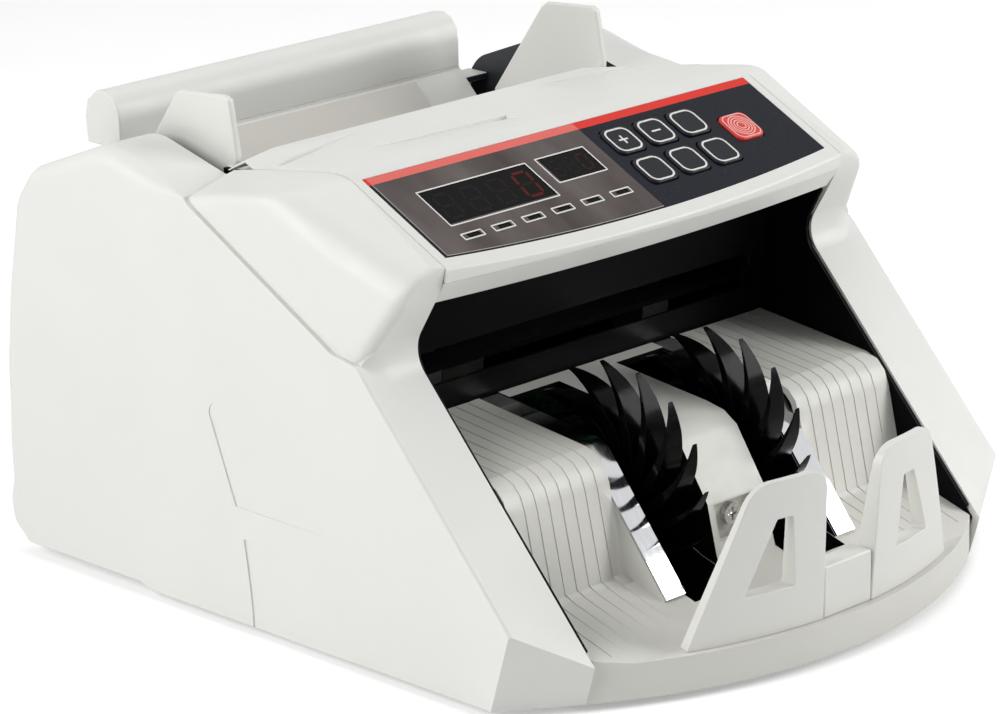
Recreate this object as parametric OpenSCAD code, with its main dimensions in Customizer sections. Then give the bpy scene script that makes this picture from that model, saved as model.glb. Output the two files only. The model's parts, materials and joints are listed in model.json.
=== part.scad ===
// Banknote counter: free-standing case with feed hopper, tilted display panel and stacker wheels.
// Origin in the middle of the footprint on the table, X to the right seen from the front, front at -Y, Z up.

/* [Case] */
// Overall width across the side covers
body_w = 260; // [244:1:300]
// Overall depth from the bowed tray to the back
body_d = 300; // [290:1:330]
// Height of the side covers at their highest point
case_h = 164.5; // [160:0.5:180]
// Height of the rubber feet
foot_h = 3; // [2:0.5:6]
// Width of each cheek beside the stacker
cheek_w = 27; // [24:0.5:30]
// Wall thickness of the mouldings
wall = 2.5; // [2:0.1:3]
// Gap between neighbouring mouldings
gap = 0.3; // [0.2:0.05:0.4]
// Thickness of the bottom plate
plate_t = 2; // [1.5:0.1:2.5]
// Step at the rear edge of the moulded recesses in the side covers
recess_t = 0.7; // [0.3:0.1:1]
// Thickness of the black stacker lining
liner_t = 1.5; // [1:0.1:1.8]

/* [Stacker] */
// How far the tray bows out between the cheeks
bow = 31; // [24:1:34]
// Height of the front rim of the tray
rim_z = 16; // [14:0.5:18]
// Half width of the middle post
post_half = 15; // [12:0.5:17]
// Inner edge of the guide ramps from the middle
ramp_in = 40.5; // [39:0.5:43]
// Width of the guide ramps
ramp_w = 10; // [8:0.5:11]
// Thickness of the steel guide strips
strip_t = 1; // [0.6:0.1:1.5]
// Pitch of the fine grooves on the stacker beds
rib_pitch = 6; // [5:0.5:7]
// Distance of each stacker wheel from the middle
wheel_x = 27.2; // [26:0.2:28.5]
// Radius of the stacker wheels at the blade tips
wheel_r = 44; // [40:0.5:44.5]
// Radius of the stacker wheel hub
hub_r = 15; // [13:0.5:16]
// Width of the stacker wheel
wheel_w = 12; // [9:0.5:13]
// Number of blades on each stacker wheel
blades = 16; // [12:1:18]
// Thickness of the front stop plates
stop_t = 4; // [3:0.5:5]
// Height of the front stop plates above the tray
stop_h = 56; // [50:1:60]

/* [Panel] */
// Tilt of the display panel
panel_tilt = 26.4; // [24:0.2:28]
// Distance of the printed overlay from the flanks of the top cover
overlay_in = 4.5; // [4:0.5:8]
// Depth of the printed overlay at its corners
overlay_d = 44.5; // [44:0.5:46]
// How far the lower edge of the overlay bows out
overlay_bow = 6; // [4:0.5:7]
// Thickness of the overlay
overlay_t = 0.8; // [0.5:0.1:1]
// Side length of the keys
key_w = 14; // [12:0.2:14.2]
// Pitch of the keys across the panel
key_pitch = 17.4; // [17.2:0.1:18]
// How far the keys stand over the overlay
key_up = 0.9; // [0.7:0.1:1.4]
// Travel of the keys
key_travel = 0.6; // [0.3:0.1:0.8]
// Gap around the keys
key_gap = 0.4; // [0.3:0.05:0.6]
// Width of the main display window
disp_w = 62; // [56:1:62]
// Width of the preset display window
preset_w = 24.5; // [20:0.5:25]

/* [Hopper and drive] */
// Distance of the note guides from the inside of the cheeks
guide_in = 8.4; // [7.8:0.2:20]
// Thickness of the note guides
guide_t = 3; // [2:0.2:3.4]
// Distance of the rear hopper plate from the inside of the cheeks
plate_in = 15; // [14:0.5:24]
// Shaft diameter
shaft_d = 6; // [5:0.5:7]
// Radial running gap between a shaft and its bearing
run_gap = 0.05; // [0.02:0.01:0.08]
// Radius of the pickup rollers
pickup_r = 12; // [11:0.5:12.5]
// Radius of the feed rollers
feed_r = 13; // [12:0.5:13.5]
// Radius of the delivery rollers
deliver_r = 10; // [9:0.5:10.5]
// Radius of the drive motor
motor_r = 21; // [18:0.5:24]

/* [Hidden] */
$fn = 64;
hw = body_w / 2;
cx = hw - cheek_w;
zp = foot_h + plate_t;
ky = body_d / 300;
kz = (case_h - foot_h) / 161.5;
function ys(v) = v * ky;
function zs(v) = foot_h + (v - 3) * kz;
function pt(y, z) = [ys(y), zs(z)];
function unit(v) = v / norm(v);
function side_of(a, b) = [-(b[1] - a[1]), b[0] - a[0]] / norm(b - a);
function mitre(n, m, t) = (n + m) * t / (1 + n * m);
function off_path(p, t) = [
    for (i = [0 : len(p) - 1])
        i == 0 ? p[0] + t * side_of(p[0], p[1])
        : i == len(p) - 1 ? p[i] + t * side_of(p[i - 1], p[i])
        : p[i] + mitre(side_of(p[i - 1], p[i]), side_of(p[i], p[i + 1]), t)
];
function inset(p, t) = let (n = len(p)) [
    for (i = [0 : n - 1])
        p[i] + mitre(side_of(p[(i + n - 1) % n], p[i]), side_of(p[i], p[(i + 1) % n]), t)
];
// corners [y, z, radius] of an outline with each corner turned into an arc
function arc_at(a, b, c, r, n) =
    let (u = unit(a - b), v = unit(c - b), half = acos(u * v) / 2, mid = b + unit(u + v) * r / sin(half),
         p = b + u * r / tan(half) - mid, q = b + v * r / tan(half) - mid, turn = 180 - 2 * half)
    [for (k = [0 : n]) mid + (p * sin(turn * (1 - k / n)) + q * sin(turn * k / n)) / sin(turn)];
function xy(p) = [p[0], p[1]];
function rounded(p, n) = let (m = len(p)) [
    for (i = [0 : m - 1])
        for (q = p[i][2] == 0 ? [xy(p[i])]
                 : arc_at(xy(p[(i + m - 1) % m]), xy(p[i]), xy(p[(i + 1) % m]), p[i][2], n))
            q
];
function ptr(y, z, r) = [ys(y), zs(z), r];
function flip(p) = [for (i = [len(p) - 1 : -1 : 0]) p[i]];
function band(p, t) = concat(p, flip(off_path(p, t)));

// bow of the tray front
bow_half = cx;
bow_r = (bow_half * bow_half + bow * bow) / (2 * bow);
bow_y = -body_d / 2 + bow_r;
// pieces that keep their distance from the cheeks
guide_x = cx - guide_in;
hopper_half = cx - plate_in;
overlay_w = 2 * (cx - overlay_in);
bracket_x = cx - 29;
// side view of the side covers
slope_low = pt(-124, 16.5);
slope_top = pt(-38, 110.5);
side_pts = rounded([
    ptr(-124, 3, 0), ptr(70, 3, 0), ptr(76, 5, 0), ptr(138, 5, 6), ptr(146, 11, 8), ptr(147.5, 20, 6),
    ptr(145.7, 28, 12), ptr(147.5, 42, 60), ptr(150, 69, 90), ptr(147, 100, 120), ptr(140.8, 136, 14),
    ptr(132, 148.5, 14), ptr(90, 165.2, 22), ptr(47, 154, 0), ptr(45, 151.8, 0), ptr(-26, 112.7, 0),
    [slope_top[0], slope_top[1], 0], [slope_low[0], slope_low[1], 0]
], 4);
// front facet of the cheeks
facet_turn = 34.3;
facet_lean = 13.7;
facet_at = [hw, ys(-110.1), zs(34.7)];
// side view of the top cover
ridge = pt(-6, 166.9);
front_y = ys(-61);
front_bow = 6;
front_r = (cx * cx + front_bow * front_bow) / (2 * front_bow);
function plane_z(y) = ridge[1] + (y - ridge[0]) * tan(panel_tilt);
nose_y = front_y - 3;
nose_h = 2.1;
part_z = plane_z(front_y) - nose_h;
lip_h = 8.2;
lip_z = part_z - lip_h;
lip_lean = 6.3;
lip_top = pt(54, 161.2);
lip_low = pt(55, 158);
rear_turn = atan2(ridge[1] - lip_top[1], lip_top[0] - ridge[0]);
top_path = [lip_low, lip_top, ridge, [nose_y, plane_z(nose_y)]];
wing_front = [ys(-54), part_z];
under_path = off_path(top_path, wall);
nose_in = ridge[0] + (part_z + wall / cos(panel_tilt) - ridge[1]) / tan(panel_tilt);
nose_low = [[nose_y, part_z], [nose_in, part_z]];
plate_pts = concat(top_path, nose_low, [under_path[2], under_path[1], under_path[0]]);
// side view of the flanks beside it, which belong to the side covers
flank_pts = [
    slope_top + [0.6, -1], pt(-26, 111.7), pt(45, 150.8), pt(47, 153), [lip_low[0], lip_low[1] - 2], lip_low,
    lip_top, ridge, [nose_y, plane_z(nose_y)], [nose_y, part_z], wing_front
];
fillet_r = 12;
fillet_in = [0.25, -0.03];
fillet_pts = concat(
    arc_at(wing_front + fillet_in, slope_top + fillet_in, slope_low + fillet_in, fillet_r, 6),
    [slope_top + [4, 0.5]]
);
// flanks of the top cover, each plane by three of its points on the right
crest = [cx - 0.5, ridge[0], ridge[1]];
crest_low = [cx, ridge[0], ridge[1] - 0.1];
lip_end = [cx - 23, lip_top[0], lip_top[1] - 0.1];
crest_back = [cx, ys(16), ridge[1] - 0.1 - (ys(16) - ridge[0]) * tan(rear_turn)];
wing_back = [hw - 2.4, ys(5), zs(162.8)];
wing_tip = [hw - 10.5, ys(-48.4), zs(141.4)];
foot_back = [hw, ys(46.9), zs(154.1)];
foot_front = [hw, ys(-26), zs(112.7)];
flank_planes = [
    [crest, wing_back, wing_tip], [wing_back, foot_back, foot_front],
    [wing_back, foot_front + [0.4, 0, 0], wing_tip]
];
crest_planes = [[crest_low, crest_back, wing_back], [crest_back, lip_end, foot_back]];
hollow_pts = [
    pt(-33, 108), pt(-24, 109), pt(43, 146), pt(39.5, 154.6), pt(-4, 160.4), pt(-48.5, 139.5), pt(-47, 134)
];
groove_len = 88;
groove_t = 1.2;
// moulded recesses in the side covers, each fading out towards the front
upper_recess = rounded([ptr(18, 77.5, 0), ptr(39.5, 84.8, 4), ptr(23.6, 46.2, 0), ptr(-38, 45.8, 0)], 4);
upper_planes = [
    [[hw - recess_t, ys(39.5), zs(84.8)], [hw - recess_t, ys(23.6), zs(46.2)], [hw, ys(-30), zs(45.8)]],
    [[hw, ys(26), zs(81)], [hw, ys(-30), zs(45.8)], [hw - 2.5 * recess_t, ys(23.6), zs(46.2)]]
];
lower_recess = [
    pt(19.9, 35), pt(18.6, 27), pt(17.2, 18), pt(16.2, 9), pt(15.8, 2), pt(-50, 2), pt(-50, 34.8)
];
lower_planes = [
    [[hw - recess_t, ys(18), zs(0)], [hw - recess_t, ys(18), zs(50)], [hw, ys(-40), zs(20)]]
];
// troughs in the top cover in front of the hopper: [shallow end, deep end] across and back from the crest
troughs = [[[-62, 24], [-2, 21]], [[-49, 54], [-99, 46]], [[49, 54], [99, 46]]];
trough_r = 5;
trough_t = 1.3;
trough_up = 0.3;
function up_or_out(n) = n[0] + n[2] > 0 ? n : -n;
function plane_n(p) = up_or_out(unit(cross(p[1] - p[0], p[2] - p[0])));
// panel frame: origin at the top edge of the overlay
panel_y = ridge[0] - 4.4;
panel_z = plane_z(panel_y);
over_r = (overlay_w * overlay_w / 4 + overlay_bow * overlay_bow) / (2 * overlay_bow);
row_1 = -14.8;
row_2 = -32.2;
key_x0 = 18.3;
led_x = [-78.5, -63.6, -48.7, -33.8, -18.9, -4];
board_z = -11.5;
// stacker side views
bed_out = cx - liner_t - 2 * gap;
bed_rear = -18;
ramp_out = ramp_in + ramp_w;
strip_side = 0.1;
groove_w = 0.6;
grooves = 7;
bed_path = [
    pt(bed_rear, 76.4), pt(-70, 70.5), pt(-75.5, 68.6), pt(-79, 65), pt(-81, 60), pt(-88.5, 28.5),
    pt(-93, 26.5), [ys(-128), rim_z], [-body_d / 2 - 6, rim_z]
];
floor_path = [pt(-88.5, 28.5), pt(-93, 26.5), [ys(-128), rim_z], [-body_d / 2 - 6, rim_z]];
ramp_path = [pt(bed_rear - 0.5, 76.1), pt(-70, 70.2), pt(-108, 23.2)];
post_path = [
    pt(bed_rear, 76.4), pt(-68, 71), pt(-76, 69.4), pt(-82, 65.5), pt(-95, 46), pt(-99, 30), pt(-102, 20)
];
groove_path = [
    pt(bed_rear, 76.4), pt(-70, 70.5), pt(-75.5, 68.6), pt(-79, 65), pt(-81, 60), pt(-88.5, 28.5),
    pt(-93, 26.5), [ys(-122), rim_z + 2]
];
wheel_y = ys(-62);
wheel_z = zp + wheel_r + 0.8;
blade_turn = 14;
slot_room = 0.8;
slot_rear = wheel_y + sqrt(pow(wheel_r + slot_room, 2) - pow(zs(72.8) - wheel_z, 2));
screw_y = ys(-91);
screw_z = zs(38.5);
// front stops
stop_x0 = 13;
stop_y0 = -body_d / 2 + 3;
stop_turn = 10.6;
stop_len = 59;
// hopper and drive
fr_in = cx - 4.5;
fr_t = 2;
fr_out = fr_in + fr_t;
pick_c = pt(78, 96);
feed_c = pt(52, 92);
del_c = pt(8, 82.6);
motor_c = pt(70, 38);
rail_c = pt(50, 150.5);
rail_d = 6;
table_path = [
    pt(92, 111.5), pt(70, 104), pt(44, 104), pt(30, 97), pt(0, 91), pt(-10, 89.3)
];
pull_small = 8;
pull_mid = 11;
belt_t = 1.2;
belt_seat = 0.3;
belt_room = 3.266;
slope_n = side_of(slope_top, slope_low);
pull_big = slope_n * ([wheel_y, wheel_z] - slope_low) - wall - belt_seat - belt_t - belt_room;
belt_w = 6;
left_belt = -(cx + 1.6);
right_belt = cx + 1.6;
hop_front = [pt(45, 144.5), pt(52, 112)];
hop_low = [(hop_front[0] + hop_front[1]) / 2, hop_front[1]];
hop_t = 2.4;
rear_path = [
    pt(139.5, 5), pt(143, 9), pt(144, 27), pt(147, 36), pt(147, 78), pt(144.5, 100),
    pt(139, 131), pt(137, 143.2), pt(126.7, 143.2)
];
rear_y = ys(147);
inlet_x = 60;
inlet_z = zs(57);
switch_x = 15;

// a side-view outline drawn from x0 to x1
module slab(p, x0, x1) {
    translate([x0, 0, 0])
        rotate([90, 0, 90])
            linear_extrude(x1 - x0)
                polygon(p);
}

// a round bar along X
module bar(c, r, x0, x1) {
    translate([x0, c[0], c[1]])
        rotate([0, 90, 0])
            cylinder(h = x1 - x0, r = r);
}

module both() {
    children();
    mirror([1, 0, 0])
        children();
}

// everything in front of the cheek facet, drawn on the right
module facet_cut(back) {
    translate(facet_at)
        rotate([facet_lean, 0, facet_turn])
            translate([-150, -100 + back, -150])
                cube([300, 100, 300]);
}

// everything outside a plane moved in by back
module beyond(p, back) {
    n = plane_n(p);
    translate(p[0])
        rotate([0, -asin(n[2]), atan2(n[1], n[0])])
            translate([-back, -200, -200])
                cube([100, 400, 400]);
}

// everything outside the flanks of the top cover moved in by back, drawn on the right
module flank_cut(planes, back) {
    for (p = planes)
        beyond(p, back);
}

// frame of the tilted panel: X across, Y up the slope, Z out of the panel
module on_panel() {
    translate([0, panel_y, panel_z])
        rotate([panel_tilt, 0, 0])
            children();
}

// soft upright block with rounded corners
module pad(w, d, h, r) {
    linear_extrude(h)
        union() {
            square([w - 2 * r, d], center = true);
            square([w, d - 2 * r], center = true);
            for (sx = [-1, 1])
                for (sy = [-1, 1])
                    translate([sx * (w / 2 - r), sy * (d / 2 - r)])
                        circle(r);
        }
}

// trough in the rear face of the top cover from its shallow end a to its deep end b
module trough(a, b) {
    d = b - a;
    drop = trough_t + trough_up;
    translate([0, ridge[0], ridge[1]])
        rotate([-rear_turn, 0, 0])
            translate([a[0], a[1], trough_r + trough_up])
                rotate([0, 90 + atan2(drop, norm(d)), atan2(d[1], d[0])])
                    cylinder(h = norm([norm(d), drop]), r = trough_r);
}

// front of the top plate and the flanks
module front_form() {
    translate([0, front_y + front_r, 0])
        cylinder(h = 300, r = front_r, $fn = 200);
}

// flank beside the top cover, drawn on the right
module flank() {
    difference() {
        union() {
            intersection() {
                slab(flank_pts, cx, hw + 1);
                front_form();
            }
            slab(fillet_pts, cx, hw);
        }
        flank_cut(concat(flank_planes, crest_planes), 0);
    }
}

module side_shell() {
    difference() {
        slab(side_pts, cx, hw);
        facet_cut(0);
        difference() {
            slab(inset(side_pts, wall), cx - 1, hw - wall);
            facet_cut(wall);
        }
        intersection() {
            slab(upper_recess, hw - wall, hw + 1);
            beyond(upper_planes[0], 0);
            beyond(upper_planes[1], 0);
        }
        intersection() {
            slab(lower_recess, hw - wall, hw + 1);
            beyond(lower_planes[0], 0);
        }
    }
    // inner wall beside the hopper
    intersection() {
        slab(side_pts, cx, cx + wall);
        translate([cx - 1, ys(47.5), zs(112)])
            cube([wall + 2, body_d, case_h]);
    }
}

module side_cover() {
    difference() {
        union() {
            side_shell();
            flank();
        }
        difference() {
            slab(hollow_pts, cx + wall, hw - wall);
            flank_cut(flank_planes, wall);
        }
        // groove along the foot of the flank
        translate([hw - groove_t, foot_front[1], foot_front[2]])
            rotate([atan2(foot_back[2] - foot_front[2], foot_back[1] - foot_front[1]), 0, 0])
                translate([0, -6, 0.3 - groove_t])
                    cube([groove_t + 1, groove_len, groove_t]);
    }
}

module left_side_cover() {
    color("gainsboro")
        mirror([1, 0, 0])
            side_cover();
}

module right_side_cover() {
    color("gainsboro")
        side_cover();
}

module base_plate() {
    color("silver")
        translate([-(cx - gap), ys(-112), foot_h])
            cube([2 * (cx - gap), ys(253), plate_t]);
}

module rubber_feet() {
    color("dimgray")
        for (sx = [-1, 1])
            for (y = [-98, 122])
                translate([sx * (cx - 15), ys(y), 0])
                    cylinder(h = foot_h, r = 8);
}

module rear_cover() {
    color("gainsboro")
        difference() {
            slab(band(rear_path, wall), -(cx - gap), cx - gap);
            translate([inlet_x - 14, rear_y - wall - 3, inlet_z - 10.2])
                cube([28, wall + 6, 20.4]);
            translate([switch_x - 9.8, rear_y - wall - 3, inlet_z - 6.8])
                cube([19.6, wall + 6, 13.6]);
            for (sx = [-1, 1])
                for (v = [46, 70])
                    translate([sx * (cx - 8), rear_y + 1, zs(v)])
                        rotate([90, 0, 0])
                            cylinder(h = wall + 3, r = 1.6);
        }
}

module rear_screws() {
    color("silver")
        for (sx = [-1, 1])
            for (v = [46, 70])
                translate([sx * (cx - 8), rear_y, zs(v)])
                    rotate([90, 0, 0]) {
                        translate([0, 0, -1.8])
                            cylinder(h = 1.8, r = 3);
                        cylinder(h = wall + 1, r = 1.5);
                    }
}

module key_hole(x, y, extra) {
    translate([x, y, -8])
        pad(key_w + 2 * extra, key_w + 2 * extra, 12, 3);
}

module key_holes(extra) {
    for (i = [0 : 2]) {
        key_hole(key_x0 + i * key_pitch, row_1, extra);
        key_hole(key_x0 + i * key_pitch, row_2, extra);
    }
    key_hole(key_x0 + 3 * key_pitch + 3, (row_1 + row_2) / 2, extra);
}

// outline of the overlay grown by g
module overlay_form(g, h) {
    intersection() {
        translate([-overlay_w / 2 - g, -overlay_d - overlay_bow - 1 - g, 0])
            cube([overlay_w + 2 * g, overlay_d + overlay_bow + 1 + 2 * g, h]);
        translate([0, over_r - overlay_d - overlay_bow, 0])
            cylinder(h = h, r = over_r + g, $fn = 200);
    }
}

module display_cuts(g) {
    translate([-57 - disp_w / 2 - g, -30.5 - g, -8])
        cube([disp_w + 2 * g, 18.5 + 2 * g, 12]);
    translate([-11.5 - preset_w / 2 - g, -26 - g, -8])
        cube([preset_w + 2 * g, 14 + 2 * g, 12]);
    for (x = led_x)
        translate([x - 3.4 - g, -40.2 - g, -8])
            cube([6.8 + 2 * g, 4.4 + 2 * g, 12]);
}

module top_cover() {
    color("gainsboro")
        difference() {
            union() {
                difference() {
                    intersection() {
                        slab(plate_pts, gap - cx, cx - gap);
                        front_form();
                    }
                    both()
                        flank_cut([crest_planes[1]], 0);
                    for (t = troughs)
                        trough(t[0], t[1]);
                }
                // posts for the display board
                on_panel()
                    for (x = [-91, 66])
                        for (y = [-8, -41])
                            translate([x, y, board_z])
                                cylinder(h = -board_z - 1.5, r = 2.6);
            }
            on_panel() {
                translate([0, 0, -overlay_t])
                    overlay_form(0.25, 10);
                key_holes(key_gap);
                display_cuts(0.3);
            }
        }
}

module lip_cone(back) {
    cylinder(h = lip_h, r1 = front_r - lip_lean - back, r2 = front_r - back, $fn = 200);
}

module cavity_lip() {
    color("gainsboro")
        intersection() {
            translate([-(cx - gap), ys(-75), lip_z])
                cube([2 * (cx - gap), ys(45), lip_h]);
            translate([0, front_y + front_r, lip_z])
                difference() {
                    lip_cone(gap);
                    lip_cone(gap + wall);
                }
        }
}

module panel_overlay() {
    color("dimgray")
        on_panel()
            difference() {
                translate([0, 0, -overlay_t])
                    overlay_form(0, overlay_t);
                key_holes(key_gap);
                display_cuts(0.05);
            }
}

module display_board() {
    color("seagreen")
        on_panel()
            union() {
                translate([-94, -45, board_z - 1.6])
                    cube([182, 41, 1.6]);
                for (i = [0 : 2])
                    for (y = [row_1, row_2])
                        translate([key_x0 + i * key_pitch - 3, y - 3, board_z])
                            cube([6, 6, key_under - 1 - key_travel - 0.2 - board_z]);
                translate([key_x0 + 3 * key_pitch, (row_1 + row_2) / 2 - 3, board_z])
                    cube([6, 6, key_under - 1 - key_travel - 0.2 - board_z]);
            }
}
key_under = -wall - 0.1;

module count_display() {
    color("black")
        on_panel()
            translate([-57 - disp_w / 2, -30.5, board_z])
                cube([disp_w, 18.5, -board_z - 0.2]);
}

module preset_display() {
    color("black")
        on_panel()
            translate([-11.5 - preset_w / 2, -26, board_z])
                cube([preset_w, 14, -board_z - 0.2]);
}

module indicator_lights() {
    color("black")
        on_panel()
            for (x = led_x)
                translate([x - 3.4, -40.2, board_z])
                    cube([6.8, 4.4, -board_z - 0.2]);
}

// a key cap with the flange that stops it under the top plate
module key_cap(x, y) {
    on_panel()
        translate([x, y, 0])
            union() {
                translate([0, 0, key_under - 1])
                    pad(key_w + 2.6, key_w + 2.6, 1, 2);
                translate([0, 0, key_under - 1])
                    pad(key_w, key_w, key_up + 1 - key_under, 3);
            }
}

module key_plus() {
    color("black")
        key_cap(key_x0, row_1);
}

module key_minus() {
    color("black")
        key_cap(key_x0 + key_pitch, row_1);
}

module key_upper() {
    color("black")
        key_cap(key_x0 + 2 * key_pitch, row_1);
}

module key_lower_left() {
    color("black")
        key_cap(key_x0, row_2);
}

module key_lower_mid() {
    color("black")
        key_cap(key_x0 + key_pitch, row_2);
}

module key_lower_right() {
    color("black")
        key_cap(key_x0 + 2 * key_pitch, row_2);
}

module key_restart() {
    color("red")
        key_cap(key_x0 + 3 * key_pitch + 3, (row_1 + row_2) / 2);
}

module stacker_liner() {
    liner_z = lip_z + 1.7;
    side = [
        [ys(-110), zp], [ys(-13.5), zp], pt(-13.5, 78), [ys(-20.5), liner_z], [ys(-43), liner_z],
        [ys(-46.5), liner_z - 3.5], pt(-40.7, 116.6), pt(-39.9, 112), pt(-40.6, 107.5), pt(-42.2, 104.3),
        pt(-118.4, 21.6), [ys(-114), rim_z - 3]
    ];
    back = [[ys(-43), liner_z], [ys(-21), liner_z], pt(-15.4, 77.5), pt(-15.4, 70)];
    color("black")
        difference() {
            union() {
                both()
                    slab(side, cx - gap - liner_t, cx - gap);
                slab(band(back, -liner_t), -(cx - gap), cx - gap);
            }
            // slot where the notes come through
            translate([-(bed_out - 5), ys(-24), zs(86)])
                cube([2 * (bed_out - 5), ys(20), zs(100) - zs(86)]);
            bar([wheel_y, wheel_z], shaft_d / 2 + 1, -(cx + 1), 0);
        }
}

module bow_form(r, z0, z1) {
    translate([0, bow_y, z0])
        cylinder(h = z1 - z0, r = r, $fn = 200);
}

module stacker_tray() {
    color("gainsboro")
        difference() {
            union() {
                // ribbed beds and tray floor
                intersection() {
                    both()
                        slab(band(bed_path, wall), ramp_out - 0.01, bed_out);
                    bow_form(bow_r, 0, 200);
                }
                intersection() {
                    slab(band(floor_path, wall), -ramp_out, ramp_out);
                    bow_form(bow_r, 0, 200);
                }
                // bowed rim
                intersection() {
                    difference() {
                        bow_form(bow_r, foot_h, rim_z);
                        bow_form(bow_r - wall, foot_h - 1, rim_z + 1);
                    }
                    translate([-(cx - gap), -body_d / 2 - 5, foot_h])
                        cube([2 * (cx - gap), body_d / 2 + 5 + ys(-100), 100]);
                }
                // bar behind the wheel slots
                slab(band([pt(bed_rear, 76.4), [slot_rear, zs(75.8)]], wall), -ramp_in, ramp_in);
                // guide ramps
                both() {
                    slab(band(ramp_low, wall), ramp_in, ramp_out);
                    slab(ramp_web, ramp_in, ramp_in + 2);
                    slab(ramp_web, ramp_out - 2, ramp_out);
                }
                // middle post
                slab(band(post_path, wall), -post_half, post_half);
                both()
                    slab(post_web, post_half - 2, post_half);
                // seat for the screw
                translate([-post_half, screw_y, zs(28)])
                    cube([2 * post_half, wall, zs(50) - zs(28)]);
            }
            // slots for the stacker wheels
            both()
                translate([post_half + gap, ys(-112), 0])
                    cube([ramp_in - post_half - 2 * gap, slot_rear - ys(-112), 200]);
            both()
                for (i = [1 : grooves]) {
                    x = ramp_out + i * rib_pitch;
                    slab(band(groove_path, groove_w), x, x + groove_w);
                }
            // pocket for the screw
            translate([-post_half + 3, screw_y - 20, screw_z - 6.5])
                cube([2 * post_half - 6, 20, 13]);
            translate([0, screw_y - 1, screw_z])
                rotate([-90, 0, 0])
                    cylinder(h = wall + 3, r = 2.1);
            bar([wheel_y, wheel_z], shaft_d / 2 + 1, -cx, cx);
        }
}
ramp_low = off_path(ramp_path, strip_t);
ramp_web = concat(ramp_low, [pt(-103, 20), pt(-84, 20), pt(-60, 62), pt(bed_rear, 68)]);
post_web = concat(post_path, [[ys(-102), zp], [ys(-44), zp], pt(-44, 60), pt(bed_rear, 70)]);

module post_screw() {
    color("silver")
        translate([0, screw_y, screw_z])
            rotate([90, 0, 0])
                difference() {
                    union() {
                        cylinder(h = 2.6, r = 4);
                        translate([0, 0, -wall - 4])
                            cylinder(h = wall + 4, r = 2);
                    }
                    translate([-2.4, -0.5, 1.4])
                        cube([4.8, 1, 3]);
                    translate([-0.5, -2.4, 1.4])
                        cube([1, 4.8, 3]);
                }
}

module guide_strip() {
    slab(band(ramp_path, strip_t), ramp_in + strip_side, ramp_out - strip_side);
}

module left_guide_strip() {
    color("silver")
        mirror([1, 0, 0])
            guide_strip();
}

module right_guide_strip() {
    color("silver")
        guide_strip();
}

// one A-shaped stop plate, drawn on the right from its inner edge
module front_stop() {
    difference() {
        translate([stop_x0, stop_y0, rim_z])
            rotate([90, 0, stop_turn])
                translate([0, 0, -stop_t])
                    linear_extrude(stop_t)
                        difference() {
                            polygon([
                                [0, 0], [stop_len, 0], [31, stop_h - 4.5], [29, stop_h - 1.8], [25.5, stop_h],
                                [7, stop_h], [3, stop_h - 1.8], [0, stop_h - 6]
                            ]);
                            polygon([[12.7, 17], [38, 17], [23.5, 41.5], [15, 41.5]]);
                        }
        // level with the edge of the middle block
        translate([-50, stop_y0 - 50, 0])
            cube([50 + stop_x0, 100, 200]);
    }
}

module left_front_stop() {
    color("whitesmoke")
        mirror([1, 0, 0])
            front_stop();
}

module right_front_stop() {
    color("whitesmoke")
        front_stop();
}

module stop_block() {
    color("whitesmoke")
        translate([-stop_x0 + gap, stop_y0, rim_z])
            cube([2 * (stop_x0 - gap), 9, 19]);
}

// one leaf of the stacker wheel between two arcs that meet at the tip
module leaf() {
    tip = [wheel_r, 0];
    c_out = tip + 34 * [cos(212.6), sin(212.6)];
    c_in = tip + 31 * [cos(218.5), sin(218.5)];
    intersection() {
        difference() {
            translate(c_out)
                circle(34);
            translate(c_in)
                circle(31);
        }
        polygon([[wheel_r + 1, -1.5], [wheel_r + 1, 40], [-6, 40], [-2, 6], [6, 6]]);
    }
}

module stacker_wheel(x) {
    translate([x, wheel_y, wheel_z])
        rotate([90, 0, 90])
            translate([0, 0, -wheel_w / 2])
                difference() {
                    intersection() {
                        linear_extrude(wheel_w)
                            union() {
                                circle(hub_r);
                                for (i = [0 : blades - 1])
                                    rotate(i * 360 / blades + blade_turn)
                                        leaf();
                            }
                        // the leaves narrow to a point
                        rotate_extrude()
                            polygon([
                                [0, 0], [wheel_r * 0.62, 0], [wheel_r * 0.85, wheel_w * 0.2],
                                [wheel_r + 0.5, wheel_w / 2 - 1], [wheel_r + 0.5, wheel_w / 2 + 1],
                                [wheel_r * 0.85, wheel_w * 0.8], [wheel_r * 0.62, wheel_w], [0, wheel_w]
                            ]);
                    }
                    translate([0, 0, -1])
                        cylinder(h = wheel_w + 2, r = shaft_d / 2 + 0.01);
                }
}

module left_stacker_wheel() {
    color("black")
        stacker_wheel(-wheel_x);
}

module right_stacker_wheel() {
    color("black")
        stacker_wheel(wheel_x);
}

stack_x0 = left_belt - 2 * belt_w - 4.5;
module stacker_shaft() {
    color("silver")
        union() {
            bar([wheel_y, wheel_z], shaft_d / 2, stack_x0, bracket_x + 5);
            bar([wheel_y, wheel_z], pull_big, stack_x0, stack_x0 + belt_w + 1);
        }
}

module shaft_bracket(x) {
    difference() {
        translate([x - 1.5, wheel_y - 14, zp])
            union() {
                cube([3, 28, wheel_z - zp + 8]);
                translate([-6, 0, 0])
                    cube([15, 28, 2]);
            }
        bar([wheel_y, wheel_z], shaft_d / 2 + run_gap, x - 10, x + 10);
    }
}

module left_shaft_bracket() {
    color("silver")
        shaft_bracket(-bracket_x);
}

module right_shaft_bracket() {
    color("silver")
        shaft_bracket(bracket_x);
}

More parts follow.
